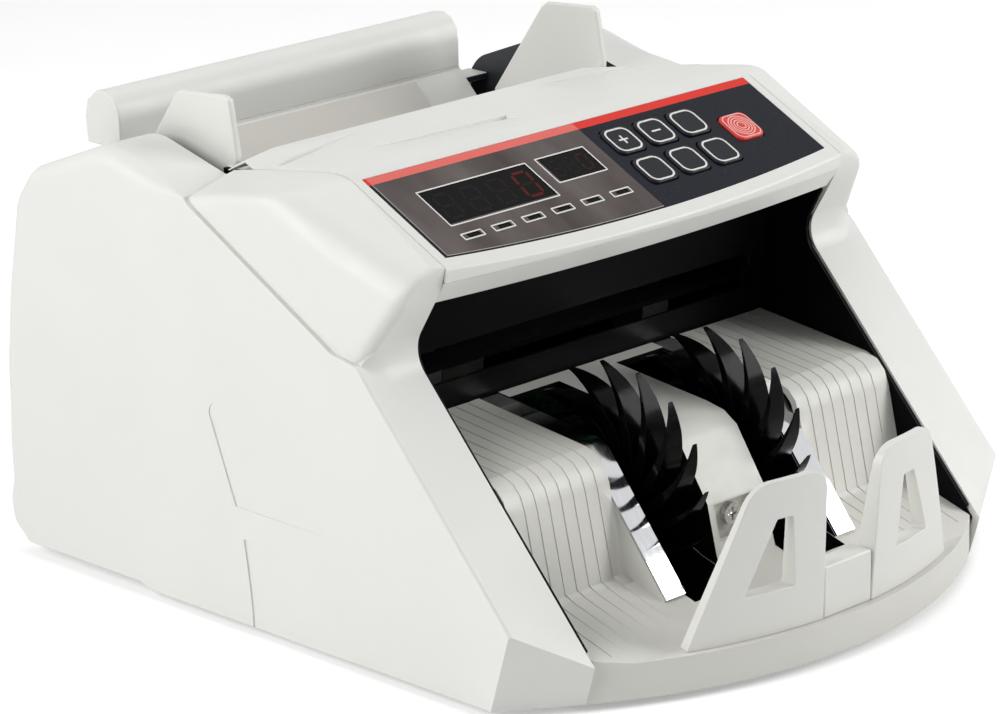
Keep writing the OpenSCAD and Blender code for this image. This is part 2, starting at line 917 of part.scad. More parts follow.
module frame_form() {
    difference() {
        slab([
            [ys(-8), zp], [ys(126), zp], pt(126, 98), pt(88, 100), pt(70, 100), pt(58, 112), pt(58, 157),
            pt(46, 157), pt(44, 112), pt(6, 104), pt(-8, 96)
        ], fr_in, fr_out);
        for (c = [pick_c, feed_c, del_c])
            bar(c, shaft_d / 2 + run_gap, fr_in - 1, fr_out + 1);
        bar(rail_c, rail_d / 2 + 0.01, fr_in - 1, fr_out + 1);
    }
}

module left_frame() {
    color("silver")
        difference() {
            mirror([1, 0, 0])
                frame_form();
            bar(motor_c, 4, -fr_out - 1, 0);
        }
}

module right_frame() {
    color("silver")
        frame_form();
}

module feed_table() {
    color("silver")
        difference() {
            slab(band(table_path, 2), -(fr_in - 0.1), fr_in - 0.1);
            for (sx = [-1, 1]) {
                roller_slot(pick_c, pickup_r, sx * 22);
                roller_slot(feed_c, feed_r, sx * 40);
                roller_slot(del_c, deliver_r, sx * 60);
            }
        }
}

module roller_slot(c, r, x) {
    bar(c, r + 1.5, x - 9, x + 9);
}

module hopper_front() {
    color("gainsboro")
        slab(band(hop_front, hop_t), -(fr_in - 0.1), fr_in - 0.1);
}

module separator() {
    color("dimgray")
        slab(concat([pt(55, 106.8), pt(60.5, 108.5), pt(59, 131)], off_path(hop_low, hop_t + 0.05)), -28, 28);
}

module hopper_plate() {
    color("gainsboro")
        difference() {
            union() {
                slab(band([pt(92.6, 112.8), pt(129.5, 150.2)], -2.5), -hopper_half, hopper_half);
                slab([
                    pt(127.5, 148.2), pt(146, 148.2), pt(147, 158), pt(145.5, 164.5), pt(141, 168.2),
                    pt(136, 169), pt(131.5, 167.2), pt(128.5, 163.5), pt(127.7, 158)
                ], -hopper_half, hopper_half);
            }
            slab([pt(131, 147), pt(143.5, 147), pt(144, 158), pt(140, 164.5), pt(135, 165.5), pt(131, 160)],
                 -hopper_half + 2.5, hopper_half - 2.5);
        }
}

module guide_label() {
    a = pt(112, 132.5);
    b = pt(126, 146.67);
    color("lightgray")
        slab(band([a, b], 0.3), -62, 62);
}

module guide_rail() {
    color("silver")
        bar(rail_c, rail_d / 2, -fr_out, fr_out);
}

module note_guide() {
    difference() {
        union() {
            slab([
                pt(62, 110), pt(88, 114), pt(112.5, 138.2), pt(114, 140.2), pt(97.4, 164.2), pt(88.4, 177.2),
                pt(85.5, 179.4), pt(62, 181.4), pt(59.6, 180.2), pt(58.6, 175), pt(56, 160.3), pt(56.5, 154)
            ], guide_x - guide_t / 2, guide_x + guide_t / 2);
            slab([
                pt(45.8, 146), pt(60, 146), pt(60, 156), pt(47, 156), pt(45.8, 154)
            ], guide_x - 7, guide_x + guide_t / 2 + 1);
        }
        bar(rail_c, rail_d / 2 + run_gap, guide_x - 20, guide_x + 20);
    }
}

module left_note_guide() {
    color("whitesmoke")
        mirror([1, 0, 0])
            note_guide();
}

module right_note_guide() {
    color("whitesmoke")
        note_guide();
}

module ring(c, r, x) {
    difference() {
        bar(c, r, x - 7, x + 7);
        bar(c, shaft_d / 2 + 0.01, x - 8, x + 8);
    }
}

module pickup_shaft() {
    color("silver")
        union() {
            bar(pick_c, shaft_d / 2, -fr_out, right_belt + 2 * belt_w + 2.5);
            bar(pick_c, pull_small, right_belt + belt_w + 1.5, right_belt + 2 * belt_w + 2.5);
        }
}

module pickup_rollers() {
    color("dimgray")
        for (sx = [-1, 1])
            ring(pick_c, pickup_r, sx * 22);
}

module feed_shaft() {
    color("silver")
        union() {
            bar(feed_c, shaft_d / 2, -fr_out, right_belt + 2 * belt_w + 2.5);
            bar(feed_c, pull_mid, right_belt, right_belt + belt_w + 1);
            bar(feed_c, pull_small, right_belt + belt_w + 1.5, right_belt + 2 * belt_w + 2.5);
        }
}

module feed_rollers() {
    color("dimgray")
        for (sx = [-1, 1])
            ring(feed_c, feed_r, sx * 40);
}

module delivery_shaft() {
    color("silver")
        union() {
            bar(del_c, shaft_d / 2, left_belt - belt_w - 1, right_belt + belt_w + 1);
            bar(del_c, pull_mid, right_belt, right_belt + belt_w + 1);
            bar(del_c, pull_mid, left_belt - belt_w - 1, left_belt);
        }
}

module delivery_rollers() {
    color("dimgray")
        for (sx = [-1, 1])
            ring(del_c, deliver_r, sx * 60);
}

module drive_motor() {
    color("silver")
        difference() {
            union() {
                bar(motor_c, motor_r, -fr_in, -fr_in + 52);
                translate([-fr_in, motor_c[0] - 20, zp])
                    cube([3, 40, 16]);
            }
            bar(motor_c, 2.52, -fr_in - 1, -fr_in + 20);
        }
}

module motor_pulley() {
    color("dimgray")
        union() {
            bar(motor_c, 2.5 - run_gap, stack_x0, -fr_in + 18);
            bar(motor_c, pull_small, stack_x0, left_belt);
        }
}

// flat belt round two pulleys
module belt(a, ra, b, rb, x0) {
    difference() {
        belt_form(a, ra + belt_seat + belt_t, b, rb + belt_seat + belt_t, x0, x0 + belt_w);
        belt_form(a, ra + belt_seat, b, rb + belt_seat, x0 - 1, x0 + belt_w + 1);
    }
}

module belt_form(a, ra, b, rb, x0, x1) {
    d = b - a;
    turn = atan2(d[1], d[0]);
    s = (ra - rb) / norm(d);
    t = asin(s);
    na = [cos(turn + 90 - t), sin(turn + 90 - t)];
    nb = [cos(turn - 90 + t), sin(turn - 90 + t)];
    translate([x0, 0, 0])
        rotate([90, 0, 90])
            linear_extrude(x1 - x0)
                union() {
                    translate(a)
                        circle(ra);
                    translate(b)
                        circle(rb);
                    polygon([a + ra * na, a, a + ra * nb, b + rb * nb, b, b + rb * na]);
                }
}

module main_belt() {
    color("dimgray")
        belt(motor_c, pull_small, del_c, pull_mid, left_belt - belt_w - 0.5);
}

module stacker_belt() {
    color("dimgray")
        belt(motor_c, pull_small, [wheel_y, wheel_z], pull_big, stack_x0 + 0.5);
}

module feed_belt() {
    color("dimgray")
        belt(feed_c, pull_mid, del_c, pull_mid, right_belt + 0.5);
}

module pickup_belt() {
    color("dimgray")
        belt(pick_c, pull_small, feed_c, pull_small, right_belt + belt_w + 2);
}

module main_board() {
    color("seagreen")
        union() {
            translate([-30, ys(14), zp + 6])
                cube([110, 100, 1.6]);
            for (x = [-24, 74])
                for (y = [20, 108])
                    translate([x, ys(14) + y - 14 + 2, zp])
                        cylinder(h = 6.5, r = 3);
            translate([30, ys(14) + 10, zp + 7.6])
                cube([42, 36, 34]);
            translate([-20, ys(14) + 55, zp + 7.6])
                cube([30, 30, 6]);
        }
}

module power_inlet() {
    color("black")
        translate([inlet_x, rear_y, inlet_z])
            difference() {
                union() {
                    translate([-16, 0, -13])
                        cube([32, 2.2, 26]);
                    translate([-13.7, -20, -9.9])
                        cube([27.4, 20.1, 19.8]);
                }
                translate([-12, -14, -8])
                    cube([24, 20, 16]);
            }
}

module switch_frame() {
    color("black")
        translate([switch_x, rear_y, inlet_z])
            difference() {
                union() {
                    translate([-11, 0, -8.2])
                        cube([22, 2, 16.4]);
                    translate([-9.5, -14, -6.5])
                        cube([19, 14.1, 13]);
                }
                translate([-8, -10.4, -5.6])
                    cube([16, 20, 11.2]);
            }
}

module power_rocker() {
    color("black")
        translate([switch_x, rear_y, inlet_z])
            intersection() {
                union() {
                    bar([-5, 0], 4.2, -7.6, 7.6);
                    translate([-7.6, -5, -4.2])
                        cube([15.2, 7, 8.4]);
                }
                translate([-8, -11, -5.2])
                    cube([16, 14, 10.4]);
            }
}

base_plate();
rubber_feet();
left_side_cover();
right_side_cover();
rear_cover();
rear_screws();
top_cover();
cavity_lip();
panel_overlay();
display_board();
count_display();
preset_display();
indicator_lights();
key_plus();
key_minus();
key_upper();
key_lower_left();
key_lower_mid();
key_lower_right();
key_restart();
stacker_liner();
stacker_tray();
post_screw();
left_guide_strip();
right_guide_strip();
left_front_stop();
right_front_stop();
stop_block();
stacker_shaft();
left_stacker_wheel();
right_stacker_wheel();
left_shaft_bracket();
right_shaft_bracket();
left_frame();
right_frame();
feed_table();
hopper_front();
separator();
hopper_plate();
guide_label();
guide_rail();
left_note_guide();
right_note_guide();
pickup_shaft();
pickup_rollers();
feed_shaft();
feed_rollers();
delivery_shaft();
delivery_rollers();
drive_motor();
motor_pulley();
main_belt();
stacker_belt();
feed_belt();
pickup_belt();
main_board();
power_inlet();
switch_frame();
power_rocker();
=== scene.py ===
"""Looks of a banknote counter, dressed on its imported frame.

Lengths are in millimetres until they reach Blender.
"""
import json
import math

import bmesh
import bpy
from mathutils import Matrix, Vector

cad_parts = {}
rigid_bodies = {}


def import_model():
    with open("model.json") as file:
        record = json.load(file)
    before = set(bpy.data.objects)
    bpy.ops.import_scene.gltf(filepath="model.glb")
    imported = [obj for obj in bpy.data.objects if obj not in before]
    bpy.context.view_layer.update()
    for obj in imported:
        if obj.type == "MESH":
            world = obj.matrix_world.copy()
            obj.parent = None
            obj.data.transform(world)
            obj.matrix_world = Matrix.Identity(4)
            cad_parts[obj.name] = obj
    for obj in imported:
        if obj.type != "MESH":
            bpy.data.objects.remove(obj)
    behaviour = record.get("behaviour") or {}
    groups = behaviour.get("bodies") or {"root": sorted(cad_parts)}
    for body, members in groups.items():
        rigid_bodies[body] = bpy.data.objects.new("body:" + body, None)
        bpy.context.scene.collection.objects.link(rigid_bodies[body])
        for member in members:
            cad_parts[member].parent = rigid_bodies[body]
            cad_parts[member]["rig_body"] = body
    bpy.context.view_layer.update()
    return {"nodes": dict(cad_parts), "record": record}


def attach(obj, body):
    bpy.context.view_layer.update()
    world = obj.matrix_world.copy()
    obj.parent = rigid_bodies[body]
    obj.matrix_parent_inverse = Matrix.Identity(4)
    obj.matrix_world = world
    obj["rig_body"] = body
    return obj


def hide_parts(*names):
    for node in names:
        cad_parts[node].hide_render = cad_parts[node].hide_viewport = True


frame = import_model()
scene = bpy.context.scene
NODES = frame["nodes"]
MM = 0.001

# Camera of the photograph
PHOTO_W = 1000
CAM_AT = Vector((-1132.423, -1084.850, 570.253))
CAM_TURN = math.radians(-45.690)
CAM_RISE = math.radians(17.482)
CAM_ROLL = math.radians(-0.400)
FOCAL_PX = 4512.16
SENSOR = 36.0

# Case
HALF_W = 130.0
CHEEK_IN = 103.0
BOW = 6.0  # of the nose and of the lower edge of the overlay

# Panel: origin at the top edge of the overlay, u across, v up the slope, w out of it
PANEL_TILT = math.radians(26.4)
PANEL_Y = -10.4
PANEL_Z = 164.716
OVERLAY_HALF = 98.5
OVERLAY_LOW = -50.5
OVERLAY_R = (OVERLAY_HALF ** 2 + BOW ** 2) / (2 * BOW)
OVERLAY_T = 0.8
STRIPE_V = -3.6
FILM_U = 6.0
FILM_IN = 1.3
# Width of the painted highlight along the edge of the protective film
FILM_EDGE_HIGHLIGHT = 0.35
KEY_PITCH = 17.4
KEY_U = 18.3
ROW_1 = -14.8
ROW_2 = -32.2
RESTART_GAP = 3.0
RESTART_U = KEY_U + 3 * KEY_PITCH + RESTART_GAP
RESTART_V = (ROW_1 + ROW_2) / 2
KEY_TOP = 0.9
GLASS_W = -0.2
BAR_T = 0.03
LED_US = (-78.5, -63.6, -48.7, -33.8, -18.9, -4.0)


# Nodes of a material

def add(tree, kind, attrs=None, **values):
    """A node with its settings; i0, i1 and so on are inputs by number, other names are inputs by name."""
    made = tree.nodes.new(kind)
    for key, value in (attrs or {}).items():
        setattr(made, key, value)
    for key, value in values.items():
        numbered = key[0] == "i" and key[1:].isdigit()
        socket = made.inputs[int(key[1:]) if numbered else key.replace("_", " ")]
        if isinstance(value, bpy.types.NodeSocket):
            tree.links.new(value, socket)
        else:
            socket.default_value = value
    return made


def start(name):
    """A material with its tree, its shader and the coordinates of a shaded point."""
    material = bpy.data.materials.new(name)
    material.use_nodes = True
    tree = material.node_tree
    tree.nodes.clear()
    shader = add(tree, "ShaderNodeBsdfPrincipled")
    out = add(tree, "ShaderNodeOutputMaterial")
    tree.links.new(shader.outputs[0], out.inputs[0])
    place = add(tree, "ShaderNodeTexCoord").outputs["Object"]
    return material, tree, shader, place


def noise(tree, place, size, detail=3.0, stretch=(1, 1, 1)):
    """Noise with features of about size millimetres."""
    scaled = add(tree, "ShaderNodeVectorMath", {"operation": "MULTIPLY"}, i0=place, i1=stretch)
    made = add(tree, "ShaderNodeTexNoise", Vector=scaled.outputs[0], Scale=1000.0 / size, Detail=detail)
    return made.outputs["Fac"]


def between(tree, value, low, high, start_at=0.3, stop_at=0.7):
    """Stretches a value between start_at and stop_at to the range from low to high."""
    made = add(tree, "ShaderNodeMapRange", Value=value,
               From_Min=start_at, From_Max=stop_at, To_Min=low, To_Max=high)
    return made.outputs["Result"]


def blend(tree, factor, a, b):
    made = add(tree, "ShaderNodeMix", {"data_type": "RGBA"})
    for socket, value in ((made.inputs[0], factor), (made.inputs[6], a), (made.inputs[7], b)):
        if isinstance(value, bpy.types.NodeSocket):
            tree.links.new(value, socket)
        else:
            socket.default_value = value
    return made.outputs[2]


def shade(colour, factor):
    return (colour[0] * factor, colour[1] * factor, colour[2] * factor, 1.0)


def grain(tree, shader, place, size, strength, depth=0.05, stretch=(1, 1, 1)):
    """Fine bumps of about size millimetres."""
    height = noise(tree, place, size, 2.0, stretch)
    bump = add(tree, "ShaderNodeBump", Height=height, Strength=strength, Distance=depth * MM)
    tree.links.new(bump.outputs[0], shader.inputs["Normal"])


def moulded(name, colour, rough, grain_size=0.35, grain_strength=0.25, coat=0.0, specular=0.5):
    """Moulded plastic: faint mottling, fine spark grain, uneven sheen."""
    material, tree, shader, place = start(name)
    patches = noise(tree, place, 45.0)
    tone = blend(tree, patches, shade(colour, 0.965), shade(colour, 1.02))
    tree.links.new(tone, shader.inputs["Base Color"])
    sheen = between(tree, noise(tree, place, 6.0), rough - 0.05, rough + 0.05)
    tree.links.new(sheen, shader.inputs["Roughness"])
    shader.inputs["Coat Weight"].default_value = coat
    shader.inputs["Coat Roughness"].default_value = 0.12
    shader.inputs["Specular IOR Level"].default_value = specular
    grain(tree, shader, place, grain_size, grain_strength)
    return material


def metal(name, colour, rough, stretch=(1, 1, 1), size=1.0, depth=0.02):
    """Metal with fine drawing marks along the short direction of stretch."""
    material, tree, shader, place = start(name)
    shader.inputs["Metallic"].default_value = 1.0
    marks = noise(tree, place, size, 4.0, stretch)
    tone = blend(tree, marks, shade(colour, 0.88), shade(colour, 1.05))
    tree.links.new(tone, shader.inputs["Base Color"])
    tree.links.new(between(tree, marks, rough * 0.7, rough * 1.4), shader.inputs["Roughness"])
    grain(tree, shader, place, size, 0.15, depth, stretch)
    return material


def rubber(name, colour):
    material, tree, shader, place = start(name)
    tone = blend(tree, noise(tree, place, 4.0), shade(colour, 0.8), shade(colour, 1.2))
    tree.links.new(tone, shader.inputs["Base Color"])
    tree.links.new(between(tree, noise(tree, place, 1.5), 0.6, 0.85), shader.inputs["Roughness"])
    grain(tree, shader, place, 0.6, 0.4, 0.1)
    return material


def math_node(tree, kind, a, b=0.0):
    return add(tree, "ShaderNodeMath", {"operation": kind}, i0=a, i1=b).outputs[0]


def panel_axis(tree, place, axis):
    """Coordinate of a shaded point along one axis of the panel, in millimetres."""
    origin = (0.0, PANEL_Y * MM, PANEL_Z * MM)
    moved = add(tree, "ShaderNodeVectorMath", {"operation": "SUBTRACT"}, i0=place, i1=origin)
    along = add(tree, "ShaderNodeVectorMath", {"operation": "DOT_PRODUCT"}, i0=moved.outputs[0], i1=axis)
    return math_node(tree, "MULTIPLY", along.outputs["Value"], 1000.0)


def overlay_print(name):
    """Printed film: navy on the right, smoky protective film on the left with a painted highlight along its
    edge, red stripe along the top.
    """
    material, tree, shader, place = start(name)
    u = panel_axis(tree, place, (1.0, 0.0, 0.0))
    v = panel_axis(tree, place, (0.0, math.cos(PANEL_TILT), math.sin(PANEL_TILT)))
    up_from_middle = math_node(tree, "SUBTRACT", v, OVERLAY_R + OVERLAY_LOW)
    bow = add(tree, "ShaderNodeCombineXYZ", X=u, Y=up_from_middle)
    reach = add(tree, "ShaderNodeVectorMath", {"operation": "LENGTH"}, i0=bow.outputs[0]).outputs["Value"]
    from_side = math_node(tree, "ADD", u, OVERLAY_HALF - FILM_IN)
    from_bow = math_node(tree, "SUBTRACT", OVERLAY_R - FILM_IN / 2, reach)
    inside = math_node(tree, "MINIMUM", from_side, from_bow)
    film = math_node(tree, "MULTIPLY", math_node(tree, "LESS_THAN", u, FILM_U),
                     math_node(tree, "GREATER_THAN", inside, 0.0))
    # Painted highlight: a light grey line along the edge of the protective film
    line = math_node(tree, "MULTIPLY", film, math_node(tree, "LESS_THAN", inside, FILM_EDGE_HIGHLIGHT))
    stripe = math_node(tree, "GREATER_THAN", v, STRIPE_V)
    streaks = noise(tree, place, 30.0, 3.0, (1.0, 0.35, 0.35))
    smoke = blend(tree, between(tree, streaks, 0.0, 1.0, 0.35, 0.65),
                  (0.050, 0.038, 0.036, 1.0), (0.150, 0.128, 0.122, 1.0))
    dust = between(tree, noise(tree, place, 0.7, 0.0), 0.0, 0.05, 0.74, 0.8)
    navy = blend(tree, dust, (0.0085, 0.0105, 0.017, 1.0), (0.5, 0.5, 0.5, 1.0))
    ground = blend(tree, line, blend(tree, film, navy, smoke), (0.42, 0.40, 0.38, 1.0))
    red = blend(tree, film, (0.78, 0.045, 0.032, 1.0), (0.82, 0.17, 0.145, 1.0))
    tree.links.new(blend(tree, stripe, ground, red), shader.inputs["Base Color"])
    tree.links.new(between(tree, streaks, 0.14, 0.26), shader.inputs["Roughness"])
    shader.inputs["Specular IOR Level"].default_value = 0.08
    grain(tree, shader, place, 14.0, 0.10, 0.4, (1.0, 0.4, 0.4))
    return material


def gloss_black(name, colour, rough, specular=0.5):
    material, tree, shader, place = start(name)
    tone = blend(tree, noise(tree, place, 12.0), shade(colour, 0.7), shade(colour, 1.3))
    tree.links.new(tone, shader.inputs["Base Color"])
    sheen = between(tree, noise(tree, place, 3.0), rough * 0.7, rough * 1.3)
    tree.links.new(sheen, shader.inputs["Roughness"])
    shader.inputs["Specular IOR Level"].default_value = specular
    grain(tree, shader, place, 5.0, 0.1, 0.08)
    return material


def glow(name, colour, strength):
    """Dim seven-bar light behind dark glass."""
    material, tree, shader, place = start(name)
    tone = blend(tree, noise(tree, place, 1.2), shade(colour, 0.7), shade(colour, 1.1))
    tree.links.new(tone, shader.inputs["Base Color"])
    tree.links.new(tone, shader.inputs["Emission Color"])
    shader.inputs["Emission Strength"].default_value = strength
    shader.inputs["Roughness"].default_value = 0.35
    shader.inputs["Specular IOR Level"].default_value = 0.05
    return material


def circuit(name):
    material, tree, shader, place = start(name)
    cells = add(tree, "ShaderNodeTexVoronoi", {"feature": "DISTANCE_TO_EDGE"}, Vector=place, Scale=260.0)
    tracks = between(tree, cells.outputs["Distance"], 1.0, 0.0, 0.02, 0.06)
    tone = blend(tree, tracks, (0.012, 0.11, 0.045, 1.0), (0.05, 0.24, 0.10, 1.0))
    tree.links.new(tone, shader.inputs["Base Color"])
    shader.inputs["Roughness"].default_value = 0.4
    grain(tree, shader, place, 1.2, 0.3)
    return material


MATERIALS = {
    "case_plastic": moulded("case_plastic", (0.80, 0.80, 0.765), 0.42),
    "tray_plastic": moulded("tray_plastic", (0.72, 0.715, 0.665), 0.45),
    "white_plastic": moulded("white_plastic", (0.80, 0.795, 0.755), 0.38),
    "black_plastic": moulded("black_plastic", (0.003, 0.003, 0.0035), 0.45, specular=0.05),
    "wheel_black": gloss_black("wheel_black", (0.0015, 0.0015, 0.002), 0.18, 0.06),
    "red_key": moulded("red_key", (0.72, 0.045, 0.032), 0.3, specular=0.3),
    "overlay_film": overlay_print("overlay_film"),
    "smoked_lens": gloss_black("smoked_lens", (0.003, 0.0025, 0.0028), 0.1, 0.05),
    "circuit_board": circuit("circuit_board"),
    "sheet_steel": metal("sheet_steel", (0.58, 0.58, 0.57), 0.34, (1.0, 0.15, 1.0), 1.0),
    "polished_steel": metal("polished_steel", (0.66, 0.67, 0.69), 0.08, (1.0, 0.1, 0.1), 1.2, 0.004),
    "steel": metal("steel", (0.62, 0.61, 0.60), 0.25, (0.2, 1.0, 1.0), 0.8),
    "grey_rubber": rubber("grey_rubber", (0.045, 0.045, 0.047)),
    "label_film": moulded("label_film", (0.66, 0.64, 0.585), 0.22, coat=0.6),
}
INK = moulded("ink_white", (0.78, 0.76, 0.72), 0.5)
KEY_BLACK = moulded("key_black", (0.010, 0.012, 0.018), 0.3, specular=0.12)
LIT_BAR = glow("lit_bar", (0.07, 0.006, 0.005), 0.5)
FAINT_BAR = glow("faint_bar", (0.024, 0.006, 0.006), 0.5)
DARK_BAR = glow("dark_bar", (0.009, 0.006, 0.007), 0.0)
RED_RING = moulded("red_ring", (0.86, 0.52, 0.48), 0.4)
# Painted shade: a dark colour for case plastic where shade falls inside the hopper
PAINTED_SHADE = moulded("painted_shade", (0.035, 0.037, 0.043), 0.4)

# Parts seen only through the slots, painted black for the shade they lie in
SHADE_PAINTED_BLACK = ("feed_table", "left_frame", "right_frame")
for row in frame["record"]["subparts"]:
    slots = NODES[row["node"]].data.materials
    slots.clear()
    look = "black_plastic" if row["node"] in SHADE_PAINTED_BLACK else row["material_slot"]
    slots.append(MATERIALS[look])


# Solids of the covers and stops, in millimetres

# y, z and radius of each corner of a side cover, seen from the side
SIDE_CORNERS = (
    (-124, 3, 0), (70, 3, 0), (76, 5, 0), (138, 5, 6), (146, 11, 8), (147.5, 20, 6), (145.7, 28, 12),
    (147.5, 42, 60), (150, 69, 90), (147, 100, 120), (140.8, 136, 14), (132, 148.5, 14), (90, 165.2, 22),
    (47, 154, 0), (45, 151.8, 0), (-26, 112.7, 0), (-38, 110.5, 0), (-124, 16.5, 0))
WALL = 2.5
FACET_AT = Vector((HALF_W, -110.1, 34.7))
FACET_TURN = math.radians(34.3)
FACET_LEAN = math.radians(13.7)
RECESS = 0.7
UPPER_RECESS = ((18, 77.5, 0), (39.5, 84.8, 4), (23.6, 46.2, 0), (-38, 45.8, 0))
LOWER_RECESS = ((19.9, 35), (18.6, 27), (17.2, 18), (16.2, 9), (15.8, 2), (-50, 2), (-50, 34.8))
# The hopper, whose inner walls get painted shade: they lie within INNER_X, behind HOPPER_Y and above HOPPER_Z
INNER_X = CHEEK_IN + 0.2
HOPPER_Y = 47.5
HOPPER_Z = 112.0

RIDGE = Vector((-6.0, 166.9))
LIP_TOP = Vector((54.0, 161.2))
LIP_LOW = Vector((55.0, 158.0))
FRONT_Y = -61.0
NOSE_T = 1.8
SEAM = 0.35
SEAT_GAP = 0.25
SEAT_LEDGE = 2.5
PLATE_STEPS = 30
FRONT_R = (CHEEK_IN ** 2 + BOW ** 2) / (2 * BOW)
SLOPE = math.tan(PANEL_TILT)
PART_Z = RIDGE.y + (FRONT_Y - RIDGE.x) * SLOPE - 2.1
REAR_TURN = math.atan2(RIDGE.y - LIP_TOP.y, LIP_TOP.x - RIDGE.x)
# x and distance behind the ridge, at the shallow and at the deep end of each trough
TROUGHS = (((-66, 24), (-2, 21)), ((-46, 52), (-99, 38)), ((46, 52), (99, 43)))
TROUGH_W = 6.5
TROUGH_DEEP = 1.8
TROUGH_UP = 0.02
TROUGH_TOP = 2.0
TROUGH_DOT = 0.9998


def arc_at(a, b, c, radius, steps):
    """Points of the arc that rounds corner b between a and c."""
    u, v = (a - b).normalized(), (c - b).normalized()
    half = math.acos(max(-1.0, min(1.0, u.dot(v)))) / 2
    turn = math.pi - 2 * half
    if radius <= 0 or turn < 1e-4:
        return [b] * (steps + 1)
    middle = b + (u + v).normalized() * (radius / math.sin(half))
    p = b + u * (radius / math.tan(half)) - middle
    q = b + v * (radius / math.tan(half)) - middle
    shares = [k / steps for k in range(steps + 1)]
    return [middle + (p * math.sin(turn * (1 - t)) + q * math.sin(turn * t)) / math.sin(turn) for t in shares]


def rounded(corners, steps):
    """Outline through corners that each have a radius."""
    points = []
    count = len(corners)
    for i, (y, z, radius) in enumerate(corners):
        here = Vector((y, z))
        before, after = (Vector(corners[(i + k) % count][:2]) for k in (-1, 1))
        points += arc_at(before, here, after, radius, steps) if radius else [here]
    return points


def left_normal(a, b):
    d = (b - a).normalized()
    return Vector((-d.y, d.x))


def mitres(points, closed=True):
    """How far each corner moves for an inset of one."""
    made = []
    count = len(points)
    for i, here in enumerate(points):
        before = left_normal(points[i - 1], here) if closed or i > 0 else None
        after = left_normal(here, points[(i + 1) % count]) if closed or i < count - 1 else None
        before, after = before or after, after or before
        made.append((before + after) / (1 + before.dot(after)))
    return made


def fine(points, step):
    """The same outline with long sides split."""
    made = []
    for i, a in enumerate(points):
        b = points[(i + 1) % len(points)]
        pieces = max(1, math.ceil((b - a).length / step))
        made += [a.lerp(b, k / pieces) for k in range(pieces)]
    return made


def loft(loops):
    """Closed solid through loops that have the same number of corners."""
    form = bmesh.new()
    rows = [[form.verts.new(p) for p in loop] for loop in loops]
    for one, two in zip(rows, rows[1:]):
        count = len(one)
        for i in range(count):
            j = (i + 1) % count
            form.faces.new((one[i], one[j], two[j], two[i]))
    form.faces.new(rows[0][::-1])
    form.faces.new(rows[-1])
    bmesh.ops.remove_doubles(form, verts=form.verts, dist=1e-5)
    bmesh.ops.recalc_face_normals(form, faces=form.faces)
    return form


def prism(points, x0, x1):
    """Solid from x0 to x1 over an outline in y and z."""
    return loft([[(x, p[0], p[1]) for p in points] for x in (x0, x1)])


def everything(form):
    return form.verts[:] + form.edges[:] + form.faces[:]


def keep_side(form, point, normal):
    """Cuts away everything behind a plane and closes the cut."""
    cut = bmesh.ops.bisect_plane(form, geom=everything(form), dist=1e-5,
                                 plane_co=point, plane_no=normal, clear_inner=True)
    edges = [item for item in cut["geom_cut"] if isinstance(item, bmesh.types.BMEdge)]
    if edges:
        bmesh.ops.edgeloop_fill(form, edges=edges)


def plane_of(a, b, c):
    """Point and normal of a plane, the normal upwards or out to the right."""
    a, b, c = Vector(a), Vector(b), Vector(c)
    normal = (b - a).cross(c - a).normalized()
    return a, normal if normal.x + normal.z > 0 else -normal


def linked(name, data):
    """A new object in the scene."""
    made = bpy.data.objects.new(name, data)
    scene.collection.objects.link(made)
    return made


def swap_sides(mesh):
    mesh.transform(Matrix.Diagonal((-1, 1, 1, 1)))
    mesh.flip_normals()


def as_object(form, name, mirrored=False):
    mesh = bpy.data.meshes.new(name)
    form.to_mesh(mesh)
    form.free()
    if mirrored:
        swap_sides(mesh)
    return linked(name, mesh)


def baked(piece):
    """Mesh of an object with its modifiers; the object goes."""
    bpy.context.view_layer.update()
    mesh = bpy.data.meshes.new_from_object(piece.evaluated_get(bpy.context.evaluated_depsgraph_get()))
    old = piece.data
    bpy.data.objects.remove(piece)
    bpy.data.meshes.remove(old)
    return mesh


def carved(form, cutters):
    """Mesh of a solid less some others."""
    base = as_object(form, "base")
    tools = [as_object(cutter, "tool") for cutter in cutters]
    for tool in tools:
        cut = base.modifiers.new("cut", "BOOLEAN")
        cut.operation = "DIFFERENCE"
        cut.solver = "EXACT"
        cut.object = tool
    mesh = baked(base)
    for tool in tools:
        old = tool.data
        bpy.data.objects.remove(tool)
        bpy.data.meshes.remove(old)
    return mesh


def split_walls(form):
    """Cuts the inner walls of a side cover along the edges of the hopper, so that a part can take painted
    shade.
    """
    walls = [face for face in form.faces
             if abs(face.normal.x) > 0.9 and abs(face.calc_center_median().x) < INNER_X * MM]
    for at, normal in ((HOPPER_Y, (0, 1, 0)), (HOPPER_Z, (0, 0, 1))):
        parts = {part for face in walls if face.is_valid for part in (face, *face.edges, *face.verts)}
        cut = bmesh.ops.bisect_plane(form, geom=list(parts), dist=1e-7,
                                     plane_co=Vector(normal) * at * MM, plane_no=normal)
        walls = [part for part in cut["geom"] if isinstance(part, bmesh.types.BMFace)]


